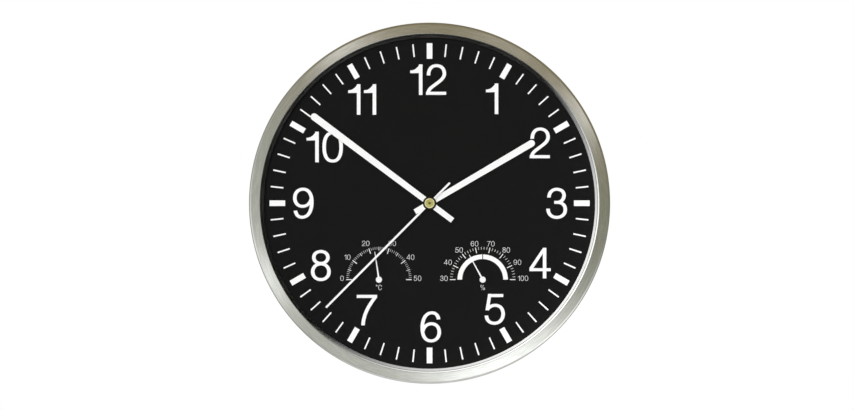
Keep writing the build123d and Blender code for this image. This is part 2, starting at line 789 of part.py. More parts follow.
core_hole_width = core_width + 2 * press_gap
core_hole_depth = stator_thickness + 2 * press_gap
sleeve_width = core_hole_width + 2 * bobbin_wall
sleeve_depth = core_hole_depth + 2 * bobbin_wall
bobbin_left = coil_left + fit_gap
bobbin_right = coil_right - fit_gap
with BuildPart() as coil_bobbin:
    for flange_x in (bobbin_left, bobbin_right - bobbin_wall):
        with BuildSketch(across(flange_x)):
            with Locations((coil_above_arbor, core_middle)):
                Circle(bobbin_flange_radius)
        extrude(amount=bobbin_wall)
    with BuildSketch(across(bobbin_left)):
        with Locations((coil_above_arbor, core_middle)):
            Rectangle(sleeve_width, sleeve_depth)
    extrude(amount=bobbin_right - bobbin_left)
    with BuildSketch(across(bobbin_left)):
        with Locations((coil_above_arbor, core_middle)):
            Rectangle(core_hole_width, core_hole_depth)
    extrude(amount=bobbin_right - bobbin_left, mode=Mode.SUBTRACT)
coil_bobbin.part.label = "coil_bobbin"
export_step(coil_bobbin.part, "parts/coil_bobbin.step")

winding_left = bobbin_left + bobbin_wall + press_gap
winding_right = bobbin_right - bobbin_wall - press_gap
with BuildPart() as drive_coil:
    with BuildSketch(across(winding_left)):
        with Locations((coil_above_arbor, core_middle)):
            Circle(winding_radius)
            Rectangle(sleeve_width + 2 * press_gap, sleeve_depth + 2 * press_gap, mode=Mode.SUBTRACT)
    extrude(amount=winding_right - winding_left)
drive_coil.part.label = "drive_coil"
export_step(drive_coil.part, "parts/drive_coil.step")

# Circuit board with an arm along the top, a covered chip and a can crystal
with BuildPart() as circuit_board:
    with BuildSketch(facing(0, 0, board_back)):
        Polygon(
            (board_left, board_bottom),
            (board_left + board_width, board_bottom),
            (board_left + board_width, board_top - board_arm),
            (board_right, board_top - board_arm),
            (board_right, board_top),
            (board_left, board_top),
            align=None,
        )
    extrude(amount=board_thickness)
circuit_board.part.label = "circuit_board"
export_step(circuit_board.part, "parts/circuit_board.step")

board_middle = (board_bottom + board_top) / 2
with BuildPart() as chip_cover:
    with BuildSketch(facing(board_left + board_width / 3, board_middle, board_front)):
        Circle(chip_radius)
    extrude(amount=chip_height)
    fillet(chip_cover.faces().sort_by(Axis.Y)[0].edges(), chip_height / chip_crown)
chip_cover.part.label = "chip_cover"
export_step(chip_cover.part, "parts/chip_cover.step")

crystal_x = board_left + 2 * board_width / 3
with BuildPart() as quartz_crystal:
    with BuildSketch(across(crystal_x - crystal_length / 2)):
        with Locations((board_middle, board_front + crystal_radius + press_gap)):
            Circle(crystal_radius)
    extrude(amount=crystal_length)
quartz_crystal.part.label = "quartz_crystal"
export_step(quartz_crystal.part, "parts/quartz_crystal.step")

# Setting wheel and pinion on the shaft that passes through the cover
setting_shaft_back = knob_front - knob_thickness + knob_skin
with BuildPart() as setting_wheel:
    with BuildSketch(facing(setting_x, 0, cannon_layer)):
        Polygon(*wheel_points(setting_teeth, cannon_module, 0), align=None)
    extrude(amount=gear_thickness)
    with BuildSketch(facing(setting_x, 0, hour_layer)):
        Polygon(*pinion_points(setting_pinion_teeth, hour_module, 0), align=None)
    extrude(amount=gear_thickness)
    with BuildSketch(facing(setting_x, 0, setting_shaft_back)):
        Circle(setting_arbor_radius)
    extrude(amount=chamber_front + pivot_depth - setting_shaft_back)
    with BuildSketch(facing(setting_x, 0, cannon_layer)):
        Circle(web_radius(setting_teeth, cannon_module))
        Circle(setting_arbor_radius + web_hub, mode=Mode.SUBTRACT)
    extrude(amount=web_recess, mode=Mode.SUBTRACT)
setting_wheel.part.label = "setting_wheel"
export_step(setting_wheel.part, "parts/setting_wheel.step")

# Setting knob with grooves for the fingers
with BuildPart() as setting_knob:
    with BuildSketch(facing(setting_x, 0, knob_front - knob_thickness)):
        Circle(knob_radius)
        with PolarLocations(knob_radius, knob_grooves):
            Circle(knob_groove_radius, mode=Mode.SUBTRACT)
    extrude(amount=knob_thickness)
    with BuildSketch(facing(setting_x, 0, setting_shaft_back - press_gap)):
        Circle(setting_arbor_radius + press_gap)
    extrude(amount=knob_front - setting_shaft_back + press_gap, mode=Mode.SUBTRACT)
setting_knob.part.label = "setting_knob"
export_step(setting_knob.part, "parts/setting_knob.step")

# Battery lying across the bay, its nub against the positive contact
battery_height = contact_back + contact_width / 2
battery_right = bay_length / 2 - contact_sheet
with BuildPart() as battery:
    with BuildSketch(across(battery_right - battery_length)):
        with Locations((battery_z, battery_height)):
            Circle(battery_diameter / 2)
    extrude(amount=battery_length - battery_nub)
    with BuildSketch(across(battery_right - battery_nub)):
        with Locations((battery_z, battery_height)):
            Circle(battery_nub_diameter / 2)
    extrude(amount=battery_nub)
battery.part.label = "battery"
export_step(battery.part, "parts/battery.step")

# Contacts: plates at the ends of the bay, with arms up to the board
contact_outline = (
    (bay_bottom + battery_gap, contact_back),
    (board_top, contact_back),
    (board_top, arm_front),
    (divider_bottom - battery_gap, arm_front),
    (divider_bottom - battery_gap, contact_front),
    (bay_bottom + battery_gap, contact_front),
)
with BuildPart() as positive_contact:
    with BuildSketch(across(battery_right)):
        Polygon(*contact_outline, align=None)
    extrude(amount=contact_sheet)
positive_contact.part.label = "positive_contact"
export_step(positive_contact.part, "parts/positive_contact.step")

leaf_left = contact_sheet - bay_length / 2
leaf_plane = Plane(
    origin=(leaf_left, -battery_height, battery_z - hanger_above_arbor),
    x_dir=(1, 0, 0),
    z_dir=(0, 0, -1),
)
with BuildPart() as negative_contact:
    with BuildSketch(across(-bay_length / 2)):
        Polygon(*contact_outline, align=None)
    extrude(amount=contact_sheet)
    with BuildSketch(leaf_plane):
        with BuildLine():
            ThreePointArc((0, -contact_width / 2), (contact_bow, 0), (0, contact_width / 2))
            Line((0, contact_width / 2), (0, contact_width / 2 - contact_sheet))
            ThreePointArc(
                (0, contact_width / 2 - contact_sheet),
                (contact_bow - contact_sheet, 0),
                (0, contact_sheet - contact_width / 2),
            )
            Line((0, contact_sheet - contact_width / 2), (0, -contact_width / 2))
        make_face()
    extrude(amount=contact_arm / 2, both=True)
negative_contact.part.label = "negative_contact"
export_step(negative_contact.part, "parts/negative_contact.step")

# Hour and minute hands: tapered blades with a round tip, on hubs that press on the pipes
blades = (
    ("hour_hand", hour_angle, hour_rise, hour_length, hour_tail, hour_width, hour_tip_width, hour_pipe_radius),
    (
        "minute_hand",
        minute_angle,
        minute_rise,
        minute_length,
        minute_tail,
        minute_width,
        minute_tip_width,
        minute_pipe_radius,
    ),
)
for name, angle, rise, length, tail, width, tip_width, pipe_radius in blades:
    tip_start = length - tip_width / 2
    hub_bottom = dial_front + rise
    with BuildPart() as hand:
        with BuildSketch(along(angle, hub_bottom + hub_height - hand_sheet)):
            with BuildLine():
                Polyline((tip_start, tip_width / 2), (-tail, width / 2), (-tail, -width / 2), (tip_start, -tip_width / 2))
                ThreePointArc((tip_start, -tip_width / 2), (length, 0), (tip_start, tip_width / 2))
            make_face()
        extrude(amount=hand_sheet)
        with BuildSketch(facing(0, 0, hub_bottom)):
            Circle(hub_radius)
        extrude(amount=hub_height)
        with BuildSketch(facing(0, 0, hub_bottom)):
            Circle(pipe_radius + press_gap)
        extrude(amount=hub_height, mode=Mode.SUBTRACT)
    hand.part.label = name
    export_step(hand.part, f"parts/{name}.step")

# Second hand on its collar, under the domed cap
collar_bottom = dial_front + second_rise
second_bottom = collar_bottom + hub_height
with BuildPart() as hub_collar:
    with BuildSketch(facing(0, 0, collar_bottom)):
        Circle(collar_radius)
        Circle(second_arbor_radius + press_gap, mode=Mode.SUBTRACT)
    extrude(amount=hub_height)
hub_collar.part.label = "hub_collar"
export_step(hub_collar.part, "parts/hub_collar.step")

with BuildPart() as second_hand:
    with BuildSketch(along(second_angle, second_bottom)):
        with Locations(((second_length - second_tail) / 2, 0)):
            Rectangle(second_length + second_tail, second_width)
        Circle(hub_radius)
        Circle(second_arbor_radius + press_gap, mode=Mode.SUBTRACT)
    extrude(amount=second_sheet)
second_hand.part.label = "second_hand"
export_step(second_hand.part, "parts/second_hand.step")

cap_bottom = dial_front + cap_rise
with BuildPart() as centre_cap:
    with BuildSketch(section()):
        with BuildLine():
            Polyline(
                (0, cap_bottom + cap_height),
                (0, cap_bottom + cap_bore_depth + press_gap),
                (second_arbor_radius + press_gap, cap_bottom + cap_bore_depth + press_gap),
                (second_arbor_radius + press_gap, cap_bottom),
                (cap_radius, cap_bottom),
                (cap_radius, cap_bottom + cap_edge),
            )
            TangentArc(
                (0, cap_bottom + cap_height),
                (cap_radius, cap_bottom + cap_edge),
                tangent=(1, 0),
                tangent_from_first=True,
            )
        make_face()
    revolve(axis=axis_at())
centre_cap.part.label = "centre_cap"
export_step(centre_cap.part, "parts/centre_cap.step")

# Thermometer and hygrometer: cup behind the dial, spiral strip, spindle and pointer
gauges = (
    ("thermometer", thermometer_x, thermometer_angle, thermometer_strip),
    ("hygrometer", hygrometer_x, hygrometer_angle, hygrometer_strip),
)
gauge_z = -gauge_below_arbor
cup_back = dial_back - gauge_depth
cup_floor = dial_back - gauge_wall
boss_back = cup_floor - gauge_boss_height
strip_front = boss_back - boss_gap
strip_centres = [strip_pitch / 2 * (half % 2) for half in range(strip_half_turns)]
strip_radii = [strip_start_radius + strip_pitch / 2 * half for half in range(strip_half_turns)]
strip_end = strip_centres[-1] + strip_radii[-1]
anchor_z = anchor_radius + press_gap
tab_start = collet_radius + press_gap
tab_end = strip_start_radius + strip_thickness / 2
pointer_bottom = dial_front + pointer_gap
for kind, gauge_x, pointer_angle, strip_width in gauges:
    strip_back = strip_front - strip_width
    with BuildPart() as gauge_case:
        with BuildSketch(facing(gauge_x, gauge_z, cup_back)):
            Circle(gauge_radius)
        extrude(amount=gauge_depth)
        with BuildSketch(facing(gauge_x, gauge_z, cup_back)):
            Circle(gauge_radius - gauge_wall)
        extrude(amount=gauge_depth - gauge_wall, mode=Mode.SUBTRACT)
        with BuildSketch(facing(gauge_x, gauge_z, boss_back)):
            Circle(gauge_boss_radius)
        extrude(amount=gauge_boss_height)
        with BuildSketch(facing(gauge_x, gauge_z, strip_back)):
            with Locations((strip_end, anchor_z)):
                Circle(anchor_radius)
        extrude(amount=cup_floor - strip_back)
        with BuildSketch(facing(gauge_x, gauge_z, boss_back)):
            Circle(spindle_radius + run_gap)
        extrude(amount=gauge_boss_height + gauge_wall, mode=Mode.SUBTRACT)
    gauge_case.part.label = f"{kind}_case"
    export_step(gauge_case.part, f"parts/{kind}_case.step")

    with BuildPart() as gauge_coil:
        with BuildSketch(facing(gauge_x, gauge_z, strip_back)):
            with BuildLine():
                for side in (-strip_thickness / 2, strip_thickness / 2):
                    for half, (centre, radius) in enumerate(zip(strip_centres, strip_radii)):
                        CenterArc((centre, 0), radius + side, 180 * (half % 2), 180)
                for end in (strip_start_radius, strip_end):
                    Line((end - strip_thickness / 2, 0), (end + strip_thickness / 2, 0))
            make_face()
            with Locations(((tab_start + tab_end) / 2, -strip_thickness / 2)):
                Rectangle(tab_end - tab_start, strip_thickness)
        extrude(amount=strip_width)
    gauge_coil.part.label = f"{kind}_coil"
    export_step(gauge_coil.part, f"parts/{kind}_coil.step")

    with BuildPart() as gauge_spindle:
        with BuildSketch(facing(gauge_x, gauge_z, strip_back)):
            Circle(spindle_radius)
        extrude(amount=pointer_bottom + pointer_hub_height / 2 - strip_back)
        with BuildSketch(facing(gauge_x, gauge_z, strip_back)):
            Circle(collet_radius)
        extrude(amount=strip_width)
    gauge_spindle.part.label = f"{kind}_spindle"
    export_step(gauge_spindle.part, f"parts/{kind}_spindle.step")

    with BuildPart() as gauge_pointer:
        with BuildSketch(along(pointer_angle, pointer_bottom, gauge_x, gauge_z)):
            Polygon(
                (0, -pointer_root_width / 2),
                (pointer_length, -pointer_tip_width / 2),
                (pointer_length, pointer_tip_width / 2),
                (0, pointer_root_width / 2),
                align=None,
            )
        extrude(amount=pointer_sheet)
        with BuildSketch(facing(gauge_x, gauge_z, pointer_bottom)):
            Circle(pointer_hub_radius)
        extrude(amount=pointer_hub_height)
        with BuildSketch(facing(gauge_x, gauge_z, pointer_bottom)):
            Circle(spindle_radius + press_gap)
        extrude(amount=pointer_hub_height / 2 + press_gap, mode=Mode.SUBTRACT)
    gauge_pointer.part.label = f"{kind}_pointer"
    export_step(gauge_pointer.part, f"parts/{kind}_pointer.step")
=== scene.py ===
import json
import math

import bmesh
import bpy
import numpy as np
from bpy.props import FloatProperty, FloatVectorProperty, IntProperty, PointerProperty
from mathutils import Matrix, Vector


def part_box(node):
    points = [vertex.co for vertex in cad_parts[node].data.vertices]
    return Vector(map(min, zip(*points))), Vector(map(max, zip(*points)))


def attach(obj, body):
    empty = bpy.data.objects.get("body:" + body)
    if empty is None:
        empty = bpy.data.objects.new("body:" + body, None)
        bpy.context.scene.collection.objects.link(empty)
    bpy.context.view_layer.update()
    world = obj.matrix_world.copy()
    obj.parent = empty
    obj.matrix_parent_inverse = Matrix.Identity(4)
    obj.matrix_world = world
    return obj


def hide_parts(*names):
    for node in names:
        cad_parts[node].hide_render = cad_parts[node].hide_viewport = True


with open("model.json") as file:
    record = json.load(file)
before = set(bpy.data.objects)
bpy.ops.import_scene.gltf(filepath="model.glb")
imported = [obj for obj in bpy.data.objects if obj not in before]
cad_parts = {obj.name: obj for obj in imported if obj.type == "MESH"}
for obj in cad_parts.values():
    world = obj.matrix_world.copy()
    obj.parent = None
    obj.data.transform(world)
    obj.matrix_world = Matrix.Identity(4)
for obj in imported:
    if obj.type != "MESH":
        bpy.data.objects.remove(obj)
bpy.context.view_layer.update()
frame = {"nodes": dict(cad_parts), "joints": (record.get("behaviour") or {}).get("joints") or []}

bl_info = {
    "name": "Thermometer hygrometer clock",
    "version": (1, 0, 0),
    "blender": (4, 5, 0),
    "location": "3D View > Sidebar > Clock",
    "description": "Dresses the packed wall clock with its metal rim, printed dial, hands and gauges",
    "category": "Object",
}

# Places that come from the frame: wall at y = 0, height is the distance from it towards the viewer
pivots = {joint["child"]: np.array(joint["pos_m"])[[0, 2]] for joint in frame["joints"]}
arbor = pivots["minute"]
dial_front = -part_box("dial_plate")[0].y
glass_front = -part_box("front_glass")[0].y
glass_back = -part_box("front_glass")[1].y
rim_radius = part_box("bezel_ring")[1].x
seat_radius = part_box("spacer_ring")[1].x

# Difference in height between raised strokes that cross
film_step = 4e-6
pure_white = (1.0, 1.0, 1.0, 1.0)


def length(name, description, default):
    """Length property in metres."""
    return FloatProperty(name=name, description=description, default=default, unit="LENGTH", precision=6)


def angle(name, description, degrees):
    """Angle property, clockwise from twelve, given here in degrees."""
    turn = math.radians(degrees)
    return FloatProperty(name=name, description=description, default=turn, subtype="ANGLE")


def number(name, description, default):
    """Plain factor."""
    return FloatProperty(name=name, description=description, default=default)


def colour(name, description, default):
    """Linear colour."""
    return FloatVectorProperty(
        name=name, description=description, default=default, size=3, subtype="COLOR", min=0.0, max=1.0
    )


class RimSizes(bpy.types.PropertyGroup):
    """Sizes of the spun rim and the ring inside it."""

    front: length("Front", "Height of the band's inner edge before it is rounded", 0.03987)
    band: length("Band", "Width of the brushed band", 0.0096)
    fall: length("Fall", "How much lower the band is at its outer edge", 0.0016)
    corner: length("Corner", "Radius of the outer corner", 0.0030)
    lip_edge: length("Lip edge", "Radius where the band turns into the lip", 0.0004)
    lip_depth: length("Lip depth", "Depth of the lip inside the aperture", 0.0042)
    lip_draft: length("Lip draft", "How much narrower the lip is at the glass", 0.0006)
    sheet: length("Sheet", "Thickness of the metal", 0.0009)
    skirt: length("Skirt", "Height of the rim's back edge", 0.0024)
    tabs: IntProperty(name="Tabs", description="Tabs bent over the back cover", default=6)
    tab_width: length("Tab width", "Width of one tab", 0.0120)
    tab_reach: length("Tab reach", "How far a tab reaches inwards", 0.0054)
    ring_step: length("Ring step", "Step from the lip to the inner ring", 0.0003)
    ring_draft: length("Ring draft", "How much narrower the ring is at the dial", 0.0008)
    ring_wall: length("Ring wall", "Thickness of the ring's walls", 0.0020)
    ring_base: length("Ring base", "Thickness of the ring's base", 0.0016)
    steel: colour("Steel", "Colour of the brushed metal", (0.62, 0.62, 0.60))
    silver: colour("Silver", "Colour of the inner ring", (0.23, 0.23, 0.225))
    lip_silver: colour("Lip silver", "Colour of the lip round the glass", (0.20, 0.20, 0.195))


class DialSizes(bpy.types.PropertyGroup):
    """Sizes of the print on the dial."""

    film: length("Film", "Thickness of the print", 0.00006)
    hour_outer: length("Hour outer", "Outer radius of the hour marks", 0.1341)
    hour_inner: length("Hour inner", "Inner radius of the hour marks", 0.1210)
    hour_width: length("Hour width", "Width of an hour mark", 0.0047)
    minute_outer: length("Minute outer", "Outer radius of the minute marks", 0.1338)
    minute_inner: length("Minute inner", "Inner radius of the minute marks", 0.1232)
    minute_width: length("Minute width", "Width of a minute mark", 0.00118)
    numeral: length("Numeral", "Height of the hour numerals", 0.0256)
    numeral_weight: number("Numeral weight", "Thickness of the numerals' strokes", 0.93)
    black: colour("Black", "Colour of the dial", (0.0078, 0.0078, 0.0078))
    white: colour("White", "Colour of the print", (0.90, 0.90, 0.89))


class GaugeSizes(bpy.types.PropertyGroup):
    """Sizes of the two half round scales and their pointers."""

    film: length("Film", "Thickness of the print", 0.00006)
    outer: length("Outer", "Outer radius of the scale marks", 0.0274)
    fine_inner: length("Fine inner", "Inner radius of the fine marks", 0.0252)
    middle_inner: length("Middle inner", "Inner radius of the middle marks", 0.0244)
    main_inner: length("Main inner", "Inner radius of the numbered marks", 0.0228)
    fine_share: number("Fine share", "Width of the fine marks against their spacing", 0.12)
    main_width: length("Main width", "Width of the numbered marks", 0.00064)
    warm_label: length("Thermometer label", "Radius of the thermometer's labels", 0.0323)
    warm_splay: number("Thermometer splay", "How far its labels near the top lean to the side", 0.14)
    damp_label: length("Hygrometer label", "Radius of the hygrometer's labels at the top", 0.0303)
    damp_spread: length("Hygrometer spread", "How much further out its labels are at the ends", 0.0022)
    label: length("Label", "Height of the labels", 0.0044)
    label_weight: number("Label weight", "Thickness of the labels' strokes against the full pen", 0.54)
    band_inner: length("Band inner", "Inner radius of the white band", 0.0172)
    band_outer: length("Band outer", "Outer radius of the white band", 0.0211)
    band_gap: length("Band gap", "Gap in the middle of the band", 0.0007)
    unit_drop: length("Unit drop", "How far the unit sign lies under the pointer's hub", 0.0066)
    pointer: length("Pointer", "Length of a pointer", 0.0236)
    pointer_root: length("Pointer root", "Width of a pointer at its hub", 0.0015)
    pointer_tip: length("Pointer tip", "Width of a pointer at its tip", 0.0005)
    pointer_sheet: length("Pointer sheet", "Thickness of a pointer", 0.0003)
    thermometer_angle: angle("Thermometer", "Angle of the thermometer's pointer", -8.5)
    hygrometer_angle: angle("Hygrometer", "Angle of the hygrometer's pointer", -28.6)


class HandSizes(bpy.types.PropertyGroup):
    """Sizes and angles of the three hands and their centre."""

    hour_length: length("Hour length", "Reach of the hour hand", 0.1016)
    hour_tail: length("Hour tail", "Tail of the hour hand", 0.0142)
    hour_root: length("Hour root", "Width of the hour hand's tail", 0.0044)
    hour_tip: length("Hour tip", "Width of the hour hand's tip", 0.0057)
    hour_angle: angle("Hour angle", "Angle of the hour hand", 59.6)
    minute_length: length("Minute length", "Reach of the minute hand", 0.1232)
    minute_tail: length("Minute tail", "Tail of the minute hand", 0.0240)
    minute_root: length("Minute root", "Width of the minute hand's tail", 0.0046)
    minute_tip: length("Minute tip", "Width of the minute hand's tip", 0.0059)
    minute_angle: angle("Minute angle", "Angle of the minute hand", 306.8)
    second_length: length("Second length", "Reach of the second hand", 0.1225)
    second_tail: length("Second tail", "Tail of the second hand", 0.0240)
    second_width: length("Second width", "Width of the second hand", 0.00175)
    second_angle: angle("Second angle", "Angle of the second hand", 224.8)
    sheet: length("Sheet", "Thickness of the hour and minute hands", 0.0005)
    bevel: length("Bevel", "Bevel along the edges of the hands", 0.00012)
    hub: length("Hub", "Radius of the hands' hubs", 0.0042)
    # Painted shade: a thin dark ring round the centre cap stands for the shadow line round it
    seat: length("Seat", "Width of the dark seat round the centre cap", 0.0014)
    seat_sheet: length("Seat sheet", "Thickness of the dark seat", 0.00015)
    brass: colour("Brass", "Colour of the centre cap", (0.62, 0.57, 0.19))
    # Painted highlight: the paler colour on the cap's rolled edge stands for light caught there
    brass_edge: colour("Brass edge", "Colour of the cap's polished edge", (0.88, 0.84, 0.48))


class BackSizes(bpy.types.PropertyGroup):
    """Sizes of what shows at the back."""

    knob_grooves: IntProperty(name="Knob grooves", description="Grooves round the knob", default=20)
    knob_groove: length("Knob groove", "Depth of a groove", 0.00045)
    knob_dish: length("Knob dish", "Depth of the hollow in the knob's end", 0.0005)
    sleeve_share: number("Sleeve share", "Share of the cell that the darker colour takes", 0.72)
    sign_rise: length("Sign rise", "How far the moulded signs stand out", 0.00012)
    sign_size: length("Sign size", "Size of the polarity signs", 0.0040)


class StageSizes(bpy.types.PropertyGroup):
    """Camera, light and floor."""

    distance: length("Distance", "Camera's distance from the wall plane", 1.34)
    lens: number("Lens", "Focal length in millimetres", 66.2)
    shift_x: length("Camera x", "Camera's place beside the arbor", -0.00215)
    shift_z: length("Camera z", "Camera's place above the arbor", -0.0015)
    key: number("Key", "Strength of the key light", 3.52)
    key_lean: angle("Key lean", "How far the key light is from the clock's axis", 10.0)
    side: number("Side", "Strength of the lamp that rakes the rim and its inner ring", 20.5)
    side_lean: angle("Side lean", "How far the raking lamp is from the clock's axis", 82.0)
    lamp_soft: angle("Lamp softness", "Angle that a lamp fills", 16.0)
    lamp_clock: angle("Lamp clock", "Side that the lamps come from", 313.0)
    floor_drop: length("Floor drop", "Floor's distance below the hanging point", 1.25)
    floor_radius: length("Floor radius", "Radius of the floor", 1.2)


def arithmetic(operation, swapped=False):
    """Method that joins a value and another by a Math node, the other one first if swapped."""

    def method(self, other):
        first, second = (other, self) if swapped else (self, other)
        return self.finish.node("ShaderNodeMath", {"operation": operation}, {0: first, 1: second})

    return method


class Value:
    """A shader socket in an expression: arithmetic on it adds Math nodes to its tree."""

    def __init__(self, finish, socket):
        self.finish = finish
        self.socket = socket

    __add__ = arithmetic("ADD")
    __radd__ = arithmetic("ADD", swapped=True)
    __sub__ = arithmetic("SUBTRACT")
    __rsub__ = arithmetic("SUBTRACT", swapped=True)
    __mul__ = arithmetic("MULTIPLY")
    __rmul__ = arithmetic("MULTIPLY", swapped=True)
    __truediv__ = arithmetic("DIVIDE")
    __rtruediv__ = arithmetic("DIVIDE", swapped=True)
    __pow__ = arithmetic("POWER")
    __rpow__ = arithmetic("POWER", swapped=True)
    at_least = arithmetic("MAXIMUM")

    def root(self):
        return self.finish.node("ShaderNodeMath", {"operation": "SQRT"}, {0: self})


class Finish:
    """Node tree of one material or of the world, filled by expressions."""

    def __init__(self, owner):
        owner.use_nodes = True
        self.owner = owner
        self.tree = owner.node_tree
        self.tree.nodes.clear()

    def feed(self, socket, value):
        if isinstance(value, Value):
            self.tree.links.new(value.socket, socket)
        else:
            socket.default_value = value

    def node(self, kind, settings=None, sockets=None, output=0):
        made = self.tree.nodes.new(kind)
        for name, setting in (settings or {}).items():
            setattr(made, name, setting)
        for key, value in (sockets or {}).items():
            self.feed(made.inputs[key], value)
        return Value(self, made.outputs[output]) if made.outputs else None

    def axes(self, source="Object"):
        """The three coordinates of a point, or of a direction in the world."""
        place = self.node("ShaderNodeTexCoord", output=source)
        split = self.node("ShaderNodeSeparateXYZ", None, {0: place})
        return tuple(Value(self, split.socket.node.outputs[i]) for i in range(3))

    def vector(self, x, y, z):
        return self.node("ShaderNodeCombineXYZ", None, {0: x, 1: y, 2: z})

    def noise(self, scale, detail, place=None):
        """Noise from 0 to 1 on Object coordinates, or on another vector."""
        place = place or self.node("ShaderNodeTexCoord", output="Object")
        sockets = {"Vector": place, "Scale": scale, "Detail": detail}
        return self.node("ShaderNodeTexNoise", None, sockets, "Fac")

    def smooth(self, value, low, high):
        """Smooth step from 0 at low to 1 at high."""
        settings = {"interpolation_type": "SMOOTHSTEP"}
        return self.node("ShaderNodeMapRange", settings, {"Value": value, "From Min": low, "From Max": high})

    def blend(self, share, first, second):
        """Colour between two colours."""
        first = first if isinstance(first, Value) else (*first, 1.0)
        second = second if isinstance(second, Value) else (*second, 1.0)
        settings = {"data_type": "RGBA"}
        return self.node("ShaderNodeMix", settings, {0: share, 6: first, 7: second}, 2)

    def tones(self, share, tint, low, high):
        """Colour between two factors of one tint."""
        return self.blend(share, scaled(tint, low), scaled(tint, high))

    def seam(self, value, place, width):
        """Smooth step across a place, a width to either side of it."""
        return self.smooth(value, place - width, place + width)

    def bump(self, height, strength, distance):
        sockets = {"Strength": strength, "Distance": distance, "Height": height}
        return self.node("ShaderNodeBump", None, sockets)

    def mix(self, share, first, second):
        """Shader between two shaders."""
        return self.node("ShaderNodeMixShader", None, {0: share, 1: first, 2: second})

    def ray_kinds(self):
        """Whether a ray is the camera's, comes off gloss, or has come through glass."""
        path = self.node("ShaderNodeLightPath").socket.node.outputs
        return tuple(Value(self, path[f"Is {kind} Ray"]) for kind in ("Camera", "Glossy", "Transmission"))

    def output(self, shader, kind="ShaderNodeOutputMaterial"):
        self.node(kind, None, {"Surface": shader})

    def surface(self, **sockets):
        """Principled surface: words of a socket's name are joined by underscores. Gives the material."""
        named = {key.replace("_", " "): value for key, value in sockets.items()}
        self.output(self.node("ShaderNodeBsdfPrincipled", None, named))
        return self.owner

    def round_arbor(self):
        """Place across, along and above the arbor, and the distance from it."""
        x, y, z = self.axes()
        up = z - arbor[1]
        return x, y, up, (x * x + up * up).root()


def shade(name):
    """Finish of a new material."""
    return Finish(bpy.data.materials.new(name))


def scaled(tint, factor):
    """Colour times a plain factor."""
    return tuple(channel * factor for channel in tint)


def brushed_steel(name, tint, roughness, lacquer, reach):
    """Steel with hair lines that run round the arbor: noise of radius and height, drawn out along the turn.
    Where the radius is under the reach, matt lacquer covers the metal."""
    finish = shade(name)
    x, y, rise, distance = finish.round_arbor()
    radius = distance.at_least(1e-4)
    across = x / radius
    up = rise / radius
    hairs = 5200
    bands = 900
    lines = finish.noise(1.0, 4.0, finish.vector(radius * hairs + across * 3, y * hairs + up * 3, across * 2))
    streaks = finish.noise(1.0, 2.0, finish.vector(radius * bands, across * 14, y * bands + up * 14))
    streaks = finish.smooth(streaks, 0.3, 0.7)
    patches = finish.noise(38.0, 2.0)
    wander = lines * 0.45 + streaks * 0.35 + patches * 0.2
    tone = finish.tones(wander, tint, 0.80, 1.14)
    matt = 1.0 - finish.seam(radius, reach, 0.0001)
    return finish.surface(
        Base_Color=finish.blend(matt, tone, lacquer),
        Metallic=1.0 - matt,
        Specular_IOR_Level=0.0,
        Roughness=roughness + matt * 0.35 + (lines - 0.5) * 0.08 + (patches - 0.5) * 0.03,
        Normal=finish.bump(lines, 0.03, 0.0002),
    )


def plain_metal(name, tint, roughness):
    """Metal whose tone and roughness wander a little."""
    finish = shade(name)
    speck = finish.noise(900.0, 3.0)
    tone = finish.tones(speck, tint, 0.88, 1.06)
    return finish.surface(
        Base_Color=tone,
        Metallic=1.0,
        Roughness=roughness + (speck - 0.5) * 0.12,
        Normal=finish.bump(speck, 0.03, 0.0001),
    )


def gilt(name, tint, edge, reach, punch):
    """Gold lacquer over a pressed cap, half metal and half paint, with a painted highlight as a paler colour
    beyond a radius, and painted shade that darkens the punch mark."""
    finish = shade(name)
    radius = finish.round_arbor()[3]
    speck = finish.noise(1200.0, 3.0)
    tone = finish.tones(speck, tint, 0.90, 1.06)
    # Painted highlight: a paler colour on the rolled edge beyond the reach, standing for light caught there
    tone = finish.blend(finish.seam(radius, reach, 0.0002), tone, edge)
    # Painted shade: the punch mark's colour is darkened to a quarter of the tint
    tone = finish.blend(finish.smooth(radius, punch * 0.6, punch), scaled(tint, 0.25), tone)
    return finish.surface(
        Base_Color=tone,
        Metallic=0.45,
        Roughness=0.26 + (speck - 0.5) * 0.10,
        Normal=finish.bump(speck, 0.03, 0.0001),
    )


def moulded(name, tint, roughness, grain, depth):
    """Moulded plastic: fine grain in the tool's surface and slow changes of tone."""
    finish = shade(name)
    fine = finish.noise(grain, 3.0)
    slow = finish.noise(22.0, 2.0)
    tone = finish.tones(fine * 0.5 + slow * 0.5, tint, 0.84, 1.14)
    return finish.surface(
        Base_Color=tone,
        Roughness=roughness + (slow - 0.5) * 0.10 + (fine - 0.5) * 0.08,
        Normal=finish.bump(fine, depth, 0.0003),
    )


def enamel(name, tint, roughness, specular):
    """Even paint or ink, with a faint grain."""
    finish = shade(name)
    fine = finish.noise(2600.0, 2.0)
    slow = finish.noise(30.0, 2.0)
    tone = finish.tones(fine * 0.6 + slow * 0.4, tint, 0.97, 1.03)
    return finish.surface(
        Base_Color=tone,
        Roughness=roughness + (fine - 0.5) * 0.08,
        Specular_IOR_Level=specular,
        Normal=finish.bump(fine, 0.03, 0.00005),
    )


def clear_glass(name):
    """Thin pane: a mirror whose share follows the angle of view and is dimmed by a coating, and clear
    otherwise, with faint smears."""
    finish = shade(name)
    inside = finish.node("ShaderNodeNewGeometry", output="Backfacing")
    index = 1.45
    share = finish.node("ShaderNodeFresnel", None, {"IOR": index + inside * (1 / index - index)})
    smear = finish.noise(14.0, 3.0)
    coating = 0.35
    return finish.surface(
        Base_Color=pure_white,
        Metallic=1.0,
        Roughness=0.01 + smear * 0.015,
        Alpha=share * coating,
    )


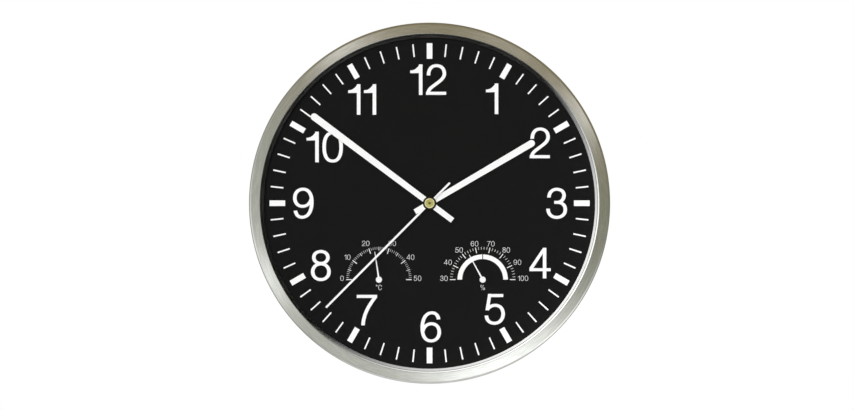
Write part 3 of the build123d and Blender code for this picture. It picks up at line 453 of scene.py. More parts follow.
def copper_winding(name):
    """Enamelled wire: turns across the coil as a wave along x."""
    finish = shade(name)
    x = finish.axes()[0]
    turns = finish.node("ShaderNodeMath", {"operation": "SINE"}, {0: x * 42000.0}) * 0.5 + 0.5
    tone = finish.blend(turns, (0.26, 0.07, 0.02), (0.62, 0.24, 0.09))
    thread = finish.bump(turns, 0.4, 0.0001)
    return finish.surface(Base_Color=tone, Metallic=0.8, Roughness=0.34, Normal=thread)


def circuit_green(name):
    """Solder mask over copper tracks: bands of a distorted grid show lighter."""
    finish = shade(name)
    x = finish.axes()[0]
    bend = finish.noise(160.0, 1.0)
    pitch = 0.0011
    across = finish.node("ShaderNodeMath", {"operation": "PINGPONG"}, {0: x + bend * 0.004, 1: pitch})
    tracks = finish.smooth(across, pitch / 2, 0.0007)
    tone = finish.blend(tracks, (0.015, 0.10, 0.045), (0.05, 0.24, 0.11))
    return finish.surface(Base_Color=tone, Roughness=0.34, Normal=finish.bump(tracks, 0.2, 0.0001))


def cell_sleeve(name, split):
    """Printed sleeve in two plain tones that meet at a place along x, with a thin pale line between."""
    finish = shade(name)
    x = finish.axes()[0]
    width = 0.0002
    upper = finish.seam(x, split, width)
    line = finish.smooth(x, split - 0.0012, split - 0.0010) * (1 - finish.smooth(x, split - width, split))
    fine = finish.noise(700.0, 2.0)
    body = finish.blend(fine, (0.030, 0.045, 0.075), (0.040, 0.058, 0.092))
    tone = finish.blend(line, finish.blend(upper, body, (0.36, 0.38, 0.40)), (0.70, 0.70, 0.68))
    roughness = 0.30 + fine * 0.08
    return finish.surface(Base_Color=tone, Metallic=upper * 0.75, Roughness=roughness, Coat_Weight=0.3)


def pale_floor(name, radius):
    """Seamless pale floor with a faint mottle, most of the way to white where the camera, gloss or glass sees
    it, that fades out towards its edge."""
    finish = shade(name)
    x, y = finish.axes()[:2]
    faded = finish.smooth((x * x + y * y).root(), radius * 0.3, radius)
    mottle = finish.noise(6.0, 3.0)
    tone = finish.blend(mottle, (0.86, 0.86, 0.85), (0.90, 0.90, 0.89))
    lit = finish.node("ShaderNodeBsdfDiffuse", None, {"Color": tone})
    white = finish.node("ShaderNodeEmission", None, {"Color": pure_white, "Strength": 1.0})
    camera, glossy, through = finish.ray_kinds()
    seen = camera.at_least(glossy).at_least(through)
    clear = finish.node("ShaderNodeBsdfTransparent")
    finish.output(finish.mix(faded, finish.mix(seen * 0.85, lit, white), clear))
    return finish.owner


def full_turn(steps):
    """Evenly spaced angles of one turn."""
    return np.linspace(0, 2 * math.pi, steps, endpoint=False)


def rays(turn):
    """Unit vectors at clock angles, as x and z: the sine and the cosine."""
    return np.stack([np.sin(turn), np.cos(turn)], axis=-1)


def compass(clock):
    """Unit vectors along a clock angle and square to it on its right, as x and z."""
    ahead = rays(clock)
    return ahead, np.array([ahead[1], -ahead[0]])


def raised(place, height):
    """Points from x and z on the wall and a height from it."""
    return np.stack([place[..., 0], -np.broadcast_to(height, place.shape[:-1]), place[..., 1]], axis=-1)


def grid_faces(rows, columns, closed_rows):
    """Quads of a grid whose columns close on themselves, and whose rows may: each joins a corner to the
    next column, the next row and both."""
    row = np.arange(rows if closed_rows else rows - 1)[:, None] * columns
    below = (row + columns) % (rows * columns)
    column = np.arange(columns)[None, :]
    beside = (column + 1) % columns
    corners = (row + column, row + beside, below + beside, below + column)
    return np.stack(np.broadcast_arrays(*corners), axis=-1).reshape(-1, 4)


def welded(name, points, faces):
    """Mesh with poles and doubled points welded and its faces turned outwards."""
    mesh = bpy.data.meshes.new(name)
    mesh.from_pydata(points, [], faces)
    work = bmesh.new()
    work.from_mesh(mesh)
    weld = 2e-7
    bmesh.ops.remove_doubles(work, verts=work.verts, dist=weld)
    bmesh.ops.dissolve_degenerate(work, edges=work.edges, dist=weld / 2)
    bmesh.ops.recalc_face_normals(work, faces=work.faces)
    work.to_mesh(mesh)
    work.free()
    return mesh


def add_piece(name, body, material, shells, nodes=()):
    """Makes one object of closed shells. A shell is a grid of points and whether its rows close too, and the
    ends of one whose rows don't are closed by flat faces. Edges sharper than the crease stay sharp."""
    crease = math.radians(32)
    faces = []
    start = 0
    for grid, closed_rows in shells:
        rows, columns = grid.shape[:2]
        faces.extend((grid_faces(rows, columns, closed_rows) + start).tolist())
        if not closed_rows:
            faces.append(list(range(start, start + columns)))
            faces.append(list(range(start + (rows - 1) * columns, start + rows * columns)))
        start += rows * columns
    mesh = welded(name, np.concatenate([grid.reshape(-1, 3) for grid, _ in shells]), faces)
    mesh.polygons.foreach_set("use_smooth", np.ones(len(mesh.polygons), dtype=bool))
    mesh.set_sharp_from_angle(angle=crease)
    mesh.materials.append(material)
    piece = bpy.data.objects.new(name, mesh)
    bpy.context.scene.collection.objects.link(piece)
    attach(piece, body)
    if nodes:
        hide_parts(*nodes)


def add_print(name, ink, shells):
    """Print on the dial."""
    add_piece(name, "case", ink, shells)


def rounded(corners, radii, steps):
    """Closed outline with arcs at its corners: an arc's centre lies on the corner's bisector, at the radius
    over the sine of the half angle, and its points turn evenly between the two tangent points."""
    points = np.asarray(corners, float)
    radius = np.asarray(radii, float)[:, None]
    back = np.roll(points, 1, axis=0) - points
    ahead = np.roll(points, -1, axis=0) - points
    back /= np.linalg.norm(back, axis=1, keepdims=True)
    ahead /= np.linalg.norm(ahead, axis=1, keepdims=True)
    bisector = back + ahead
    bisector /= np.linalg.norm(bisector, axis=1, keepdims=True)
    half = np.arccos(np.clip((back * bisector).sum(axis=1, keepdims=True), -1, 1))
    centre = points + bisector * radius / np.sin(half)
    first = points + back * radius / np.tan(half) - centre
    last = points + ahead * radius / np.tan(half) - centre
    begin = np.arctan2(first[:, 1], first[:, 0])
    sweep = (np.arctan2(last[:, 1], last[:, 0]) - begin + math.pi) % (2 * math.pi) - math.pi
    turn = begin[:, None] + sweep[:, None] * np.linspace(0, 1, steps)
    arc = np.stack([np.cos(turn), np.sin(turn)], axis=-1)
    return (centre[:, None, :] + radius[:, None, :] * arc).reshape(-1, 2)


def turned(profile, steps, centre=arbor):
    """Grid of a profile of radius and height turned about an axis square to the wall: the radius times the
    rays of one turn."""
    profile = np.asarray(profile, float)
    return raised(centre + profile[:, :1, None] * rays(full_turn(steps)), profile[:, 1:2])


def slab(left, right, back, front, closed=False):
    """Shell of a flat strip between two edges given as x and z: its section runs from the left edge's back to
    its front, across, and to the right edge's back."""
    edges = np.stack([left, left, right, right], axis=1)
    return raised(edges, np.array([back, front, front, back])), closed


def spoke(clock, inner, outer, width, centre, back, front):
    """Straight mark that points at a centre: the edges lie half its width on either side of a radius."""
    ahead, beside = compass(clock)
    reach = centre + np.outer((inner, outer), ahead)
    side = beside * width / 2
    return slab(reach - side, reach + side, back, front)


def sector(centre, inner, outer, first, last, back, front):
    """Curved strip between two radii, from one clock angle to another."""
    ray = rays(np.linspace(first, last, 64))
    return slab(centre + inner * ray, centre + outer * ray, back, front)


# Figures, drawn on a body of height one with an oval pen: half widths of its upright and level strokes
pen = np.array([0.0625, 0.0525])


def pen_sides(curve, heading):
    """Two edges of a pen stroke: the curve plus and minus the pen's half widths squared times the normal,
    over the length of the half widths times the normal."""
    normal = np.stack([-heading[:, 1], heading[:, 0]], axis=-1)
    normal /= np.linalg.norm(normal, axis=1, keepdims=True)
    offset = pen**2 * normal / np.linalg.norm(pen * normal, axis=1, keepdims=True)
    return curve + offset, curve - offset


def stroke(*controls):
    """Pen stroke along joined cubic curves: each takes the last point and the next three controls."""
    points = np.asarray(controls, float)
    first = np.arange(0, len(points) - 1, 3)
    a, b, c, d = (points[first + i][:, None, :] for i in range(4))
    steps = 13
    t = np.linspace(0, 1, steps)[None, :, None]
    curve = a * (1 - t) ** 3 + 3 * b * t * (1 - t) ** 2 + 3 * c * t**2 * (1 - t) + d * t**3
    heading = (b - a) * (1 - t) ** 2 + 2 * (c - b) * t * (1 - t) + (d - c) * t**2
    keep = np.ones((len(first), steps), dtype=bool)
    keep[1:, 0] = False
    return (*pen_sides(curve[keep], heading[keep]), False)


def oval(x, y, half_width, half_height, fullness):
    """Closed pen stroke round an oval: powers of the cosine and sine below one make it fuller."""
    wave = rays(full_turn(72))[:, ::-1]
    power = 2 / fullness
    curve = np.array([x, y]) + np.array([half_width, half_height]) * np.sign(wave) * np.abs(wave) ** power
    heading = np.roll(curve, -1, axis=0) - np.roll(curve, 1, axis=0)
    return (*pen_sides(curve, heading), True)


def strip(left, right):
    """Straight sided patch between two rows of points."""
    return np.asarray(left, float), np.asarray(right, float), False


def bar(left, right, bottom, top):
    """Level or upright bar, with its edges along the longer way."""
    if right - left > top - bottom:
        return strip([(left, top), (right, top)], [(left, bottom), (right, bottom)])
    return strip([(left, bottom), (left, top)], [(right, bottom), (right, top)])


def flag(reach, low, high, base):
    """Flag of the one: its top edge rises by a power of its length, and its lower edge is level."""
    across = np.linspace(0, reach, 12)
    rise = low + (high - low) * (across / reach) ** 2.4
    return strip(np.stack([across, rise], axis=-1), np.stack([across, np.full_like(across, base)], axis=-1))


def half_turn(width, strokes):
    """A figure turned by half a turn."""
    whole = np.array([width, 1.0])
    return width, [(whole - left, whole - right, closed) for left, right, closed in strokes]


# Width and strokes of each figure
figures = {
    "0": (0.68, [oval(0.34, 0.5, 0.277, 0.46, 2.35)]),
    "1": (0.405, [flag(0.30, 0.805, 1.0, 0.71), bar(0.28, 0.405, 0.0, 1.0)]),
    "2": (0.665, [
        stroke(
            (0.083, 0.64), (0.083, 0.84), (0.18, 0.96), (0.345, 0.96),
            (0.505, 0.96), (0.602, 0.85), (0.602, 0.7),
            (0.602, 0.575), (0.5, 0.485), (0.37, 0.39),
            (0.2, 0.265), (0.083, 0.2), (0.064, 0.05),
        ),
        bar(0.0, 0.66, 0.0, 0.108),
    ]),
    "3": (0.69, [
        stroke(
            (0.092, 0.69), (0.095, 0.85), (0.195, 0.96), (0.345, 0.96),
            (0.49, 0.96), (0.585, 0.88), (0.585, 0.765),
            (0.585, 0.64), (0.5, 0.533), (0.355, 0.533),
            (0.33, 0.533), (0.3, 0.533), (0.265, 0.533),
        ),
        stroke(
            (0.3, 0.533), (0.33, 0.533), (0.37, 0.533), (0.395, 0.531),
            (0.54, 0.52), (0.627, 0.43), (0.627, 0.292),
            (0.627, 0.14), (0.51, 0.04), (0.345, 0.04),
            (0.175, 0.04), (0.062, 0.15), (0.062, 0.325),
        ),
    ]),
    "4": (0.698, [
        strip(
            [(0.0, 0.236), (0.0, 0.352), (0.44, 1.0), (0.5, 1.0)],
            [(0.12, 0.236), (0.134, 0.34), (0.435, 0.8), (0.5, 0.9)],
        ),
        bar(0.0, 0.698, 0.234, 0.338),
        bar(0.435, 0.558, 0.0, 1.0),
    ]),
    "5": (0.673, [
        strip([(0.118, 1.0), (0.028, 0.466)], [(0.234, 1.0), (0.15, 0.466)]),
        bar(0.118, 0.615, 0.892, 1.0),
        stroke(
            (0.088, 0.48), (0.15, 0.575), (0.25, 0.628), (0.345, 0.628),
            (0.505, 0.628), (0.61, 0.52), (0.61, 0.35),
            (0.61, 0.165), (0.49, 0.04), (0.33, 0.04),
            (0.175, 0.04), (0.072, 0.135), (0.064, 0.292),
        ),
    ]),
    "6": (0.688, [
        stroke(
            (0.602, 0.745), (0.58, 0.88), (0.505, 0.96), (0.385, 0.96),
            (0.19, 0.96), (0.066, 0.77), (0.066, 0.46),
            (0.066, 0.19), (0.175, 0.04), (0.355, 0.04),
        ),
        stroke(
            (0.355, 0.04), (0.51, 0.04), (0.622, 0.16), (0.622, 0.325),
            (0.622, 0.49), (0.52, 0.602), (0.368, 0.602),
            (0.23, 0.602), (0.105, 0.5), (0.088, 0.36),
        ),
    ]),
    "7": (0.665, [
        bar(0.0, 0.665, 0.892, 1.0),
        stroke((0.606, 0.92), (0.43, 0.7), (0.218, 0.38), (0.205, 0.0)),
    ]),
    "8": (0.66, [oval(0.33, 0.765, 0.23, 0.195, 2.1), oval(0.33, 0.296, 0.266, 0.256, 2.1)]),
    "°": (0.3, [oval(0.13, 0.86, 0.095, 0.095, 2.0)]),
    "C": (0.71, [
        stroke(
            (0.64, 0.665), (0.615, 0.85), (0.51, 0.96), (0.365, 0.96),
            (0.185, 0.96), (0.066, 0.77), (0.066, 0.5),
            (0.066, 0.23), (0.185, 0.04), (0.365, 0.04),
            (0.52, 0.04), (0.625, 0.165), (0.645, 0.35),
        ),
    ]),
    "%": (0.87, [
        oval(0.19, 0.745, 0.135, 0.2, 2.1),
        strip([(0.585, 1.0), (0.195, 0.0)], [(0.675, 1.0), (0.285, 0.0)]),
        oval(0.68, 0.255, 0.135, 0.2, 2.1),
    ]),
}
figures["9"] = half_turn(*figures["6"])


def written(text, height, middle, back, film, weight):
    """Shells of a row of figures about a middle point. The weight draws both edges of a stroke to its middle
    line. Strokes that cross differ a little in thickness, so that no two faces share a plane."""
    gap = 0.11
    drawn = [figures[letter] for letter in text]
    starts = np.concatenate([[0.0], np.cumsum([width + gap for width, _ in drawn])])
    corner = middle - np.array([(starts[-1] - gap) / 2, 0.5]) * height
    shells = []
    for start, (_, strokes) in zip(starts, drawn):
        origin = corner + np.array([start * height, 0.0])
        for layer, (left, right, closed) in enumerate(strokes):
            front = back + film + layer * film_step
            line = origin + (left + right) / 2 * height
            half = (left - right) / 2 * height * weight
            shells.append(slab(line + half, line - half, back, front, closed))
    return shells


def blade(clock, centre, stations, widths, back, sheet, bevel):
    """Shell of a flat hand: at each station along it the section is a rectangle with its two front edges
    bevelled, half the width to each side."""
    ahead, beside = compass(clock)
    half = np.asarray(widths, float)[:, None] / 2
    cut = np.minimum(bevel, half * 0.8)
    across = np.concatenate([-half, -half, cut - half, half - cut, half, half], axis=1)
    side = np.full_like(half, back)
    top = side + sheet
    rise = np.concatenate([side, top - cut, top, top, top - cut, side], axis=1)
    along = centre + np.asarray(stations, float)[:, None, None] * ahead
    return raised(along + across[..., None] * beside, rise), False


def round_tip(reach, tail, root, tip):
    """Stations and widths of a hand that widens evenly to a half round tip: there the width follows the
    circle, with the station at the sine and the width at the cosine of the turn."""
    turn = np.linspace(0, math.pi / 2, 18)
    stations = np.concatenate([[-tail], reach - tip / 2 + tip / 2 * np.sin(turn)])
    widths = np.concatenate([[root], np.maximum(tip * np.cos(turn), tip * 0.01)])
    return stations, widths


def hub_ring(inner, outer, back, front, bevel):
    """Turned ring with its outer front edge rounded."""
    corners = [(inner, back), (outer, back), (outer, front), (inner, front)]
    return turned(rounded(corners, [0, 0, bevel, 0], 5), 64), True


def extent(node):
    """Back and front heights of a node from the wall."""
    low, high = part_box(node)
    return -high.y, -low.y


def reach_of(node, centre):
    """Radius of a round node, from its axis to its right side."""
    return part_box(node)[1].x - centre[0]


class CLOCK_OT_rim(bpy.types.Operator):
    """Spin the brushed rim, bend its tabs and turn the bright ring inside it"""

    bl_idname = "clock.rim"
    bl_label = "Rim and ring"

    def execute(self, context):
        s = context.scene.clock_rim
        aperture = rim_radius - s.band
        steel = brushed_steel("rim_steel", s.steel, 0.17, s.lip_silver, aperture + 0.0001)
        lip = aperture - s.lip_draft
        slope = s.fall / s.band
        lean = s.lip_draft / s.lip_depth
        corners = [
            (rim_radius, s.skirt),
            (rim_radius, s.front - s.fall),
            (aperture, s.front),
            (lip, s.front - s.lip_depth),
            (lip + s.sheet, s.front - s.lip_depth),
            (aperture + s.sheet - lean * s.sheet, s.front - s.sheet - slope * s.sheet),
            (rim_radius - s.sheet, s.front - s.fall - s.sheet + slope * s.sheet),
            (rim_radius - s.sheet, s.skirt),
        ]
        radii = [s.sheet * 0.3, s.corner, s.lip_edge, 0, 0, 0, s.corner - s.sheet, 0]
        shell = (turned(rounded(corners, radii, 9), 480), True)
        add_piece("rim_shell", "case", steel, [shell], ["bezel_ring"])

        tabs = [self.tab((index + 0.5) * 2 * math.pi / s.tabs, s) for index in range(s.tabs)]
        add_piece("rim_tabs", "case", steel, tabs)

        inner = lip - s.ring_step
        ring = [
            (inner - s.ring_draft, dial_front),
            (inner, glass_back),
            (inner + s.ring_wall, glass_back),
            (inner + s.ring_wall, dial_front + s.ring_base),
            (seat_radius - s.ring_wall, dial_front + s.ring_base),
            (seat_radius - s.ring_wall, glass_front),
            (seat_radius, glass_front),
            (seat_radius, dial_front),
        ]
        soft = 0.0002
        fillet = 0.0003
        edges = [0, soft, soft, fillet, fillet, soft, soft, soft]
        silver = enamel("ring_silver", s.silver, 0.52, 0.0)
        bright = (turned(rounded(ring, edges, 4), 360), True)
        add_piece("bright_ring", "case", silver, [bright], ["spacer_ring"])
        return {"FINISHED"}

    def tab(self, clock, s):
        """Shell of one tab: a rectangle carried down the wall, round a quarter bend and inwards. Its path is
        the arc's cosine and sine, then a straight run, and its thickness lies across the path. It is a touch
        thinner than the sheet, so that no two faces share a plane."""
        wall = rim_radius - s.sheet / 2
        bend = s.sheet
        turn = np.linspace(0, math.pi / 2, 8)
        radius = np.concatenate([[wall], wall - bend + bend * np.cos(turn), [rim_radius - s.tab_reach]])
        base = s.skirt - s.sheet / 2
        height = np.concatenate([[s.skirt + bend], base + bend - bend * np.sin(turn), [base]])
        lean = np.concatenate([[0.0], turn, [math.pi / 2]])
        thick = s.sheet / 2 * 0.98
        out = np.stack([np.cos(lean), -np.sin(lean)], axis=-1) * thick
        path = np.stack([radius, height], axis=-1)
        faces = np.stack([path - out, path - out, path + out, path + out], axis=1)
        side = np.broadcast_to(np.array([-1, 1, 1, -1]) * s.tab_width / 2, faces.shape[:2])
        ahead, beside = compass(clock)
        place = arbor + faces[..., :1] * ahead + side[..., None] * beside
        return raised(place, faces[..., 1]), False


class CLOCK_OT_print(bpy.types.Operator):
    """Print the hour and minute marks and the numerals on the dial"""

    bl_idname = "clock.print"
    bl_label = "Dial print"

    # Middles of the numerals from the arbor, set so that each looks centred on its hour
    middles = {
        1: (0.0525, 0.0875), 2: (0.0924, 0.0504), 3: (0.1065, -0.0001), 4: (0.0926, -0.0502),
        5: (0.0546, -0.0888), 6: (0.0010, -0.1036), 7: (-0.0525, -0.0895), 8: (-0.0911, -0.0522),
        9: (-0.1058, 0.0000), 10: (-0.0878, 0.0471), 11: (-0.0564, 0.0869), 12: (-0.0011, 0.1035),
    }

    def execute(self, context):
        s = context.scene.clock_dial
        ink = enamel("print_white", s.white, 0.55, 0.25)
        top = dial_front + s.film
        step = 2 * math.pi / 60
        long = (s.hour_inner, s.hour_outer, s.hour_width)
        short = (s.minute_inner, s.minute_outer, s.minute_width)
        hours = [spoke(k * step, *long, arbor, dial_front, top) for k in range(0, 60, 5)]
        minutes = [spoke(k * step, *short, arbor, dial_front, top) for k in range(60) if k % 5]
        add_print("hour_marks", ink, hours)
        add_print("minute_marks", ink, minutes)
        numerals = []
        for hour, place in self.middles.items():
            middle = arbor + np.array(place)
            numerals += written(str(hour), s.numeral, middle, dial_front, s.film, s.numeral_weight)
        add_print("hour_numerals", ink, numerals)
        return {"FINISHED"}


class CLOCK_OT_gauges(bpy.types.Operator):
    """Print the two half round scales and make their pointers"""

    bl_idname = "clock.gauges"
    bl_label = "Gauges"

    def scale(self, s, centre, first, last, step, radius, spread, splay):
        """Marks and labels from one reading to another over half a turn, every tenth one long and labelled.
        Labels lie at the radius plus the spread times the sine of their angle, which the splay widens by the
        fourth power of its cosine. Steps of one have longer fives too."""
        top = dial_front + s.film
        fine_width = s.fine_share * s.outer * math.pi * step / (last - first)
        marks = []
        labels = []
        for reading in range(first, last + 1, step):
            clock = math.pi * ((reading - first) / (last - first) - 0.5)
            main = reading % 10 == 0
            inner = s.main_inner if main else s.fine_inner
            width = s.main_width if main else fine_width
            if step == 1 and reading % 10 == 5:
                inner = s.middle_inner
                width = (s.main_width + fine_width) / 2
            marks.append(spoke(clock, inner, s.outer, width, centre, dial_front, top))
            if main:
                reach = radius + spread * abs(math.sin(clock))
                lean = clock * (1.0 + splay * math.cos(clock) ** 4)
                labels += self.label(s, centre, lean, reach, str(reading))
        return marks, labels

    def label(self, s, centre, clock, radius, text):
        """Label on its radius. Powers of the sine move it out near the ends of the scale, by what its row is
        longer than two figures, and lift it at the very ends."""
        spare = (len(text) - 2) * s.label * 0.30
        lift = s.label * 0.25
        end = abs(math.sin(clock))
        across = math.sin(clock) * (radius + spare * end**4)
        middle = centre + np.array([across, math.cos(clock) * radius + lift * end**8])
        return written(text, s.label, middle, dial_front, s.film, s.label_weight)

    def pointer(self, s, kind, clock, paint):
        """Tapered blade with a domed button on its axis."""
        centre = pivots[kind]
        back, front = extent(f"{kind}_pointer")
        radius = reach_of(f"{kind}_pointer", centre)
        stations = np.linspace(0, s.pointer, 5)
        widths = np.linspace(s.pointer_root, s.pointer_tip, 5)
        arm = blade(clock, centre, stations, widths, back, s.pointer_sheet, s.pointer_sheet * 0.25)
        crown = [(0, back), (radius, back), (radius, front), (0, front)]
        steps = 7
        button = turned(rounded(crown, [0, 0, (front - back) * 0.5, 0], steps)[steps:], 48, centre)
        name = f"{kind}_needle"
        add_piece(name, kind, paint, [arm, (button, False)], [f"{kind}_pointer"])

    def execute(self, context):
        s = context.scene.clock_gauges
        dial = context.scene.clock_dial
        ink = enamel("scale_white", dial.white, 0.55, 0.25)
        paint = enamel("needle_white", dial.white, 0.40, 0.4)
        warm = pivots["thermometer"]
        damp = pivots["hygrometer"]
        marks, labels = self.scale(s, warm, 0, 50, 1, s.warm_label, 0.0, s.warm_splay)
        add_print("thermometer_scale", ink, marks)
        add_print("thermometer_labels", ink, labels)
        marks, labels = self.scale(s, damp, 30, 100, 2, s.damp_label, s.damp_spread, 0.0)
        add_print("hygrometer_scale", ink, marks)
        add_print("hygrometer_labels", ink, labels)
        half = math.pi / 2
        gap = s.band_gap / (s.band_inner + s.band_outer)
        top = dial_front + s.film
        halves = [
            sector(damp, s.band_inner, s.band_outer, first, last, dial_front, top)
            for first, last in ((-half, -gap), (gap, half))
        ]
        add_print("hygrometer_band", ink, halves)
        for kind, sign, centre in (("thermometer", "°C", warm), ("hygrometer", "%", damp)):
            middle = centre - np.array([0.0, s.unit_drop])
            shells = written(sign, s.label, middle, dial_front, s.film, s.label_weight)
            add_print(f"{kind}_unit", ink, shells)
        self.pointer(s, "thermometer", s.thermometer_angle, paint)
        self.pointer(s, "hygrometer", s.hygrometer_angle, paint)
        return {"FINISHED"}


class CLOCK_OT_hands(bpy.types.Operator):
    """Make the three hands, the dark collar and the domed brass cap"""

    bl_idname = "clock.hands"
    bl_label = "Hands"

    # Bores of the hubs, from the widest tube of the arbor to its pin
    bores = {"hour_hand": 0.0022, "minute_hand": 0.0014, "second_hand": 0.00062}

    def hand(self, s, name, clock, shape, sheet, paint):
        """Flat blade on a bored hub."""
        back, front = extent(name)
        arm = blade(clock, arbor, *shape, front - sheet, sheet, s.bevel)
        hub = hub_ring(self.bores[name], s.hub, back, front - s.bevel / 2, s.bevel)
        add_piece(f"{name}_blade", name.split("_")[0], paint, [arm, hub], [name])

    def execute(self, context):
        s = context.scene.clock_hands
        paint = enamel("hand_enamel", context.scene.clock_dial.white, 0.36, 0.45)
        hour = round_tip(s.hour_length, s.hour_tail, s.hour_root, s.hour_tip)
        minute = round_tip(s.minute_length, s.minute_tail, s.minute_root, s.minute_tip)
        second = ([-s.second_tail, s.second_length], [s.second_width, s.second_width])
        self.hand(s, "hour_hand", s.hour_angle, hour, s.sheet, paint)
        self.hand(s, "minute_hand", s.minute_angle, minute, s.sheet, paint)
        back, front = extent("second_hand")
        self.hand(s, "second_hand", s.second_angle, second, front - back, paint)

        back, front = extent("hub_collar")
        radius = reach_of("hub_collar", arbor)
        black = moulded("collar_black", (0.012, 0.012, 0.012), 0.35, 1500.0, 0.02)
        soft = 0.0002
        ring = hub_ring(self.bores["second_hand"], radius, back, front, soft)
        add_piece("hub_collar_ring", "second", black, [ring], ["hub_collar"])

        back, front = extent("centre_cap")
        radius = reach_of("centre_cap", arbor) * 0.96
        dome = self.dome(radius, back, front)
        brass = gilt("cap_brass", s.brass, s.brass_edge, radius * 0.80, radius * 0.32)
        add_piece("centre_dome", "second", brass, [(turned(dome, 72), False)], ["centre_cap"])
        # Painted shade: a thin dark sheet round the cap, over the hands' hubs, stands for the shadow line
        # round it
        seat = hub_ring(radius, radius + s.seat, back, back + s.seat_sheet, s.seat_sheet * 0.4)
        shade_dark = plain_metal("seat_bronze", (0.030, 0.027, 0.014), 0.35)
        add_piece("cap_seat", "second", shade_dark, [seat])
        return {"FINISHED"}

    def dome(self, radius, back, front):
        """Profile of the cap: flat underside, a rolled edge as a half circle, and a dome that falls with the
        square of the radius, with a punch mark as a bell of the radius in its middle."""
        roll = radius * 0.12
        mark = radius * 0.24
        step = 0.00005
        turn = np.linspace(-math.pi / 2, math.pi * 0.75, 14)
        edge = np.stack([radius - roll + roll * np.cos(turn), back + roll + roll * np.sin(turn)], axis=-1)
        inner = np.linspace(edge[-1, 0] * 0.98, 0, 32)
        crown = edge[-1, 1] - step
        punch = (front - crown) * 0.5 * np.exp(-((inner / mark) ** 2))
        fall = front - (front - crown) * (inner / edge[-1, 0]) ** 2 - punch
        return np.concatenate([[(0, back)], edge, np.stack([inner, fall], axis=-1)])


class CLOCK_OT_back(bpy.types.Operator):
    """Make the setting knob, the cell and the moulded signs on the movement"""

    bl_idname = "clock.back"
    bl_label = "Back"

    def execute(self, context):
        s = context.scene.clock_back
        self.knob(s)
        self.cell(s)
        self.signs(s)
        return {"FINISHED"}

    def knob(self, s):
        """Grooved knob: the radius swings with a cosine of the turn, and the rows scale it from the shaft
        side over the rim to the hollow end."""
        centre = pivots["setting"]
        back, front = extent("setting_knob")
        radius = reach_of("setting_knob", centre)
        turn = full_turn(s.knob_grooves * 10)
        outline = radius - s.knob_groove * (0.5 - 0.5 * np.cos(s.knob_grooves * turn)) ** 2
        soft = 0.0001
        rows = np.array([
            (0, front),
            (0.90, front),
            (0.97, front - soft),
            (1.0, front - 3 * soft),
            (1.0, back + 5 * soft),
            (0.97, back + soft),
            (0.92, back),
            (0.70, back),
            (0.64, back + s.knob_dish * 0.6),
            (0.30, back + s.knob_dish),
            (0, back + s.knob_dish),
        ])
        share = rows[:, :1]
        grooved = share * np.where(share > 0.85, outline, radius)
        shell = (raised(centre + grooved[..., None] * rays(turn), rows[:, 1:]), False)
        plastic = moulded("knob_black", (0.030, 0.030, 0.032), 0.45, 1200.0, 0.03)
        add_piece("knob_grip", "setting", plastic, [shell], ["setting_knob"])

    def cell(self, s):
        """Cell turned about its own length: sleeve with rounded shoulders and the raised end at the contact.
        The profile is the place along x and the radius there."""
        low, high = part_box("battery")
        radius = (high.z - low.z) / 2
        middle = (low + high) / 2
        nub = 0.0027
        soft = 0.0003
        foot = low.x + 0.0002
        shoulder = high.x - 0.0014
        profile = np.array([
            (low.x, 0),
            (low.x, radius - 0.0014),
            (foot, radius - 0.0009),
            (foot, radius - 0.0004),
            (low.x + 0.0006, radius),
            (shoulder - 0.0007, radius),
            (shoulder - 0.0001, radius - 0.0005),
            (shoulder, radius - 0.0013),
            (shoulder, nub),
            (high.x - soft, nub),
            (high.x, nub - soft),
            (high.x, 0),
        ])
        ring = np.array([middle.y, middle.z]) + profile[:, 1:, None] * rays(full_turn(96))
        along = np.broadcast_to(profile[:, :1, None], (*ring.shape[:2], 1))
        shell = (np.concatenate([along, ring], axis=-1), False)
        sleeve = cell_sleeve("cell_print", low.x + (high.x - low.x) * s.sleeve_share)
        add_piece("cell_body", "case", sleeve, [shell], ["battery"])

    def signs(self, s):
        """Raised plus and minus over the ends of the cell, and a double arrow round the knob."""
        face = extent("movement_cover")[0]
        proud = face - s.sign_rise
        low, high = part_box("movement_cover")
        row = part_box("battery")[1].z + s.sign_size
        inset = s.sign_size * 1.4
        cross = (-s.sign_size / 2, s.sign_size / 2, s.sign_size * 0.28)
        minus = np.array([low.x + inset, row])
        plus = np.array([high.x - inset, row])
        shells = [
            spoke(math.pi / 2, *cross, minus, proud, face),
            spoke(math.pi / 2, *cross, plus, proud, face),
            spoke(0, *cross, plus, proud - film_step, face),
        ]
        knob = pivots["setting"]
        radius = reach_of("setting_knob", knob) * 1.35
        sweep = math.radians(55)
        line = 0.0007
        shells.append(sector(knob, radius, radius + line, -sweep, sweep, proud, face))
        for end in (-sweep, sweep):
            shells.append(self.arrow_head(knob, radius + line / 2, end, proud, face))
        plastic = moulded("sign_plastic", (0.050, 0.050, 0.054), 0.45, 1500.0, 0.02)
        add_piece("moulded_signs", "case", plastic, shells)

    def arrow_head(self, centre, radius, clock, back, front):
        """Triangle at the end of an arc, pointing on along it, with a blunt tip."""
        ahead, beside = compass(clock)
        size = 0.0022
        foot = centre + radius * ahead
        tip = foot + beside * math.copysign(size, clock)
        half = ahead * size / 2
        blunt = ahead * 1e-5
        return slab([foot - half, tip - blunt], [foot + half, tip + blunt], back, front)


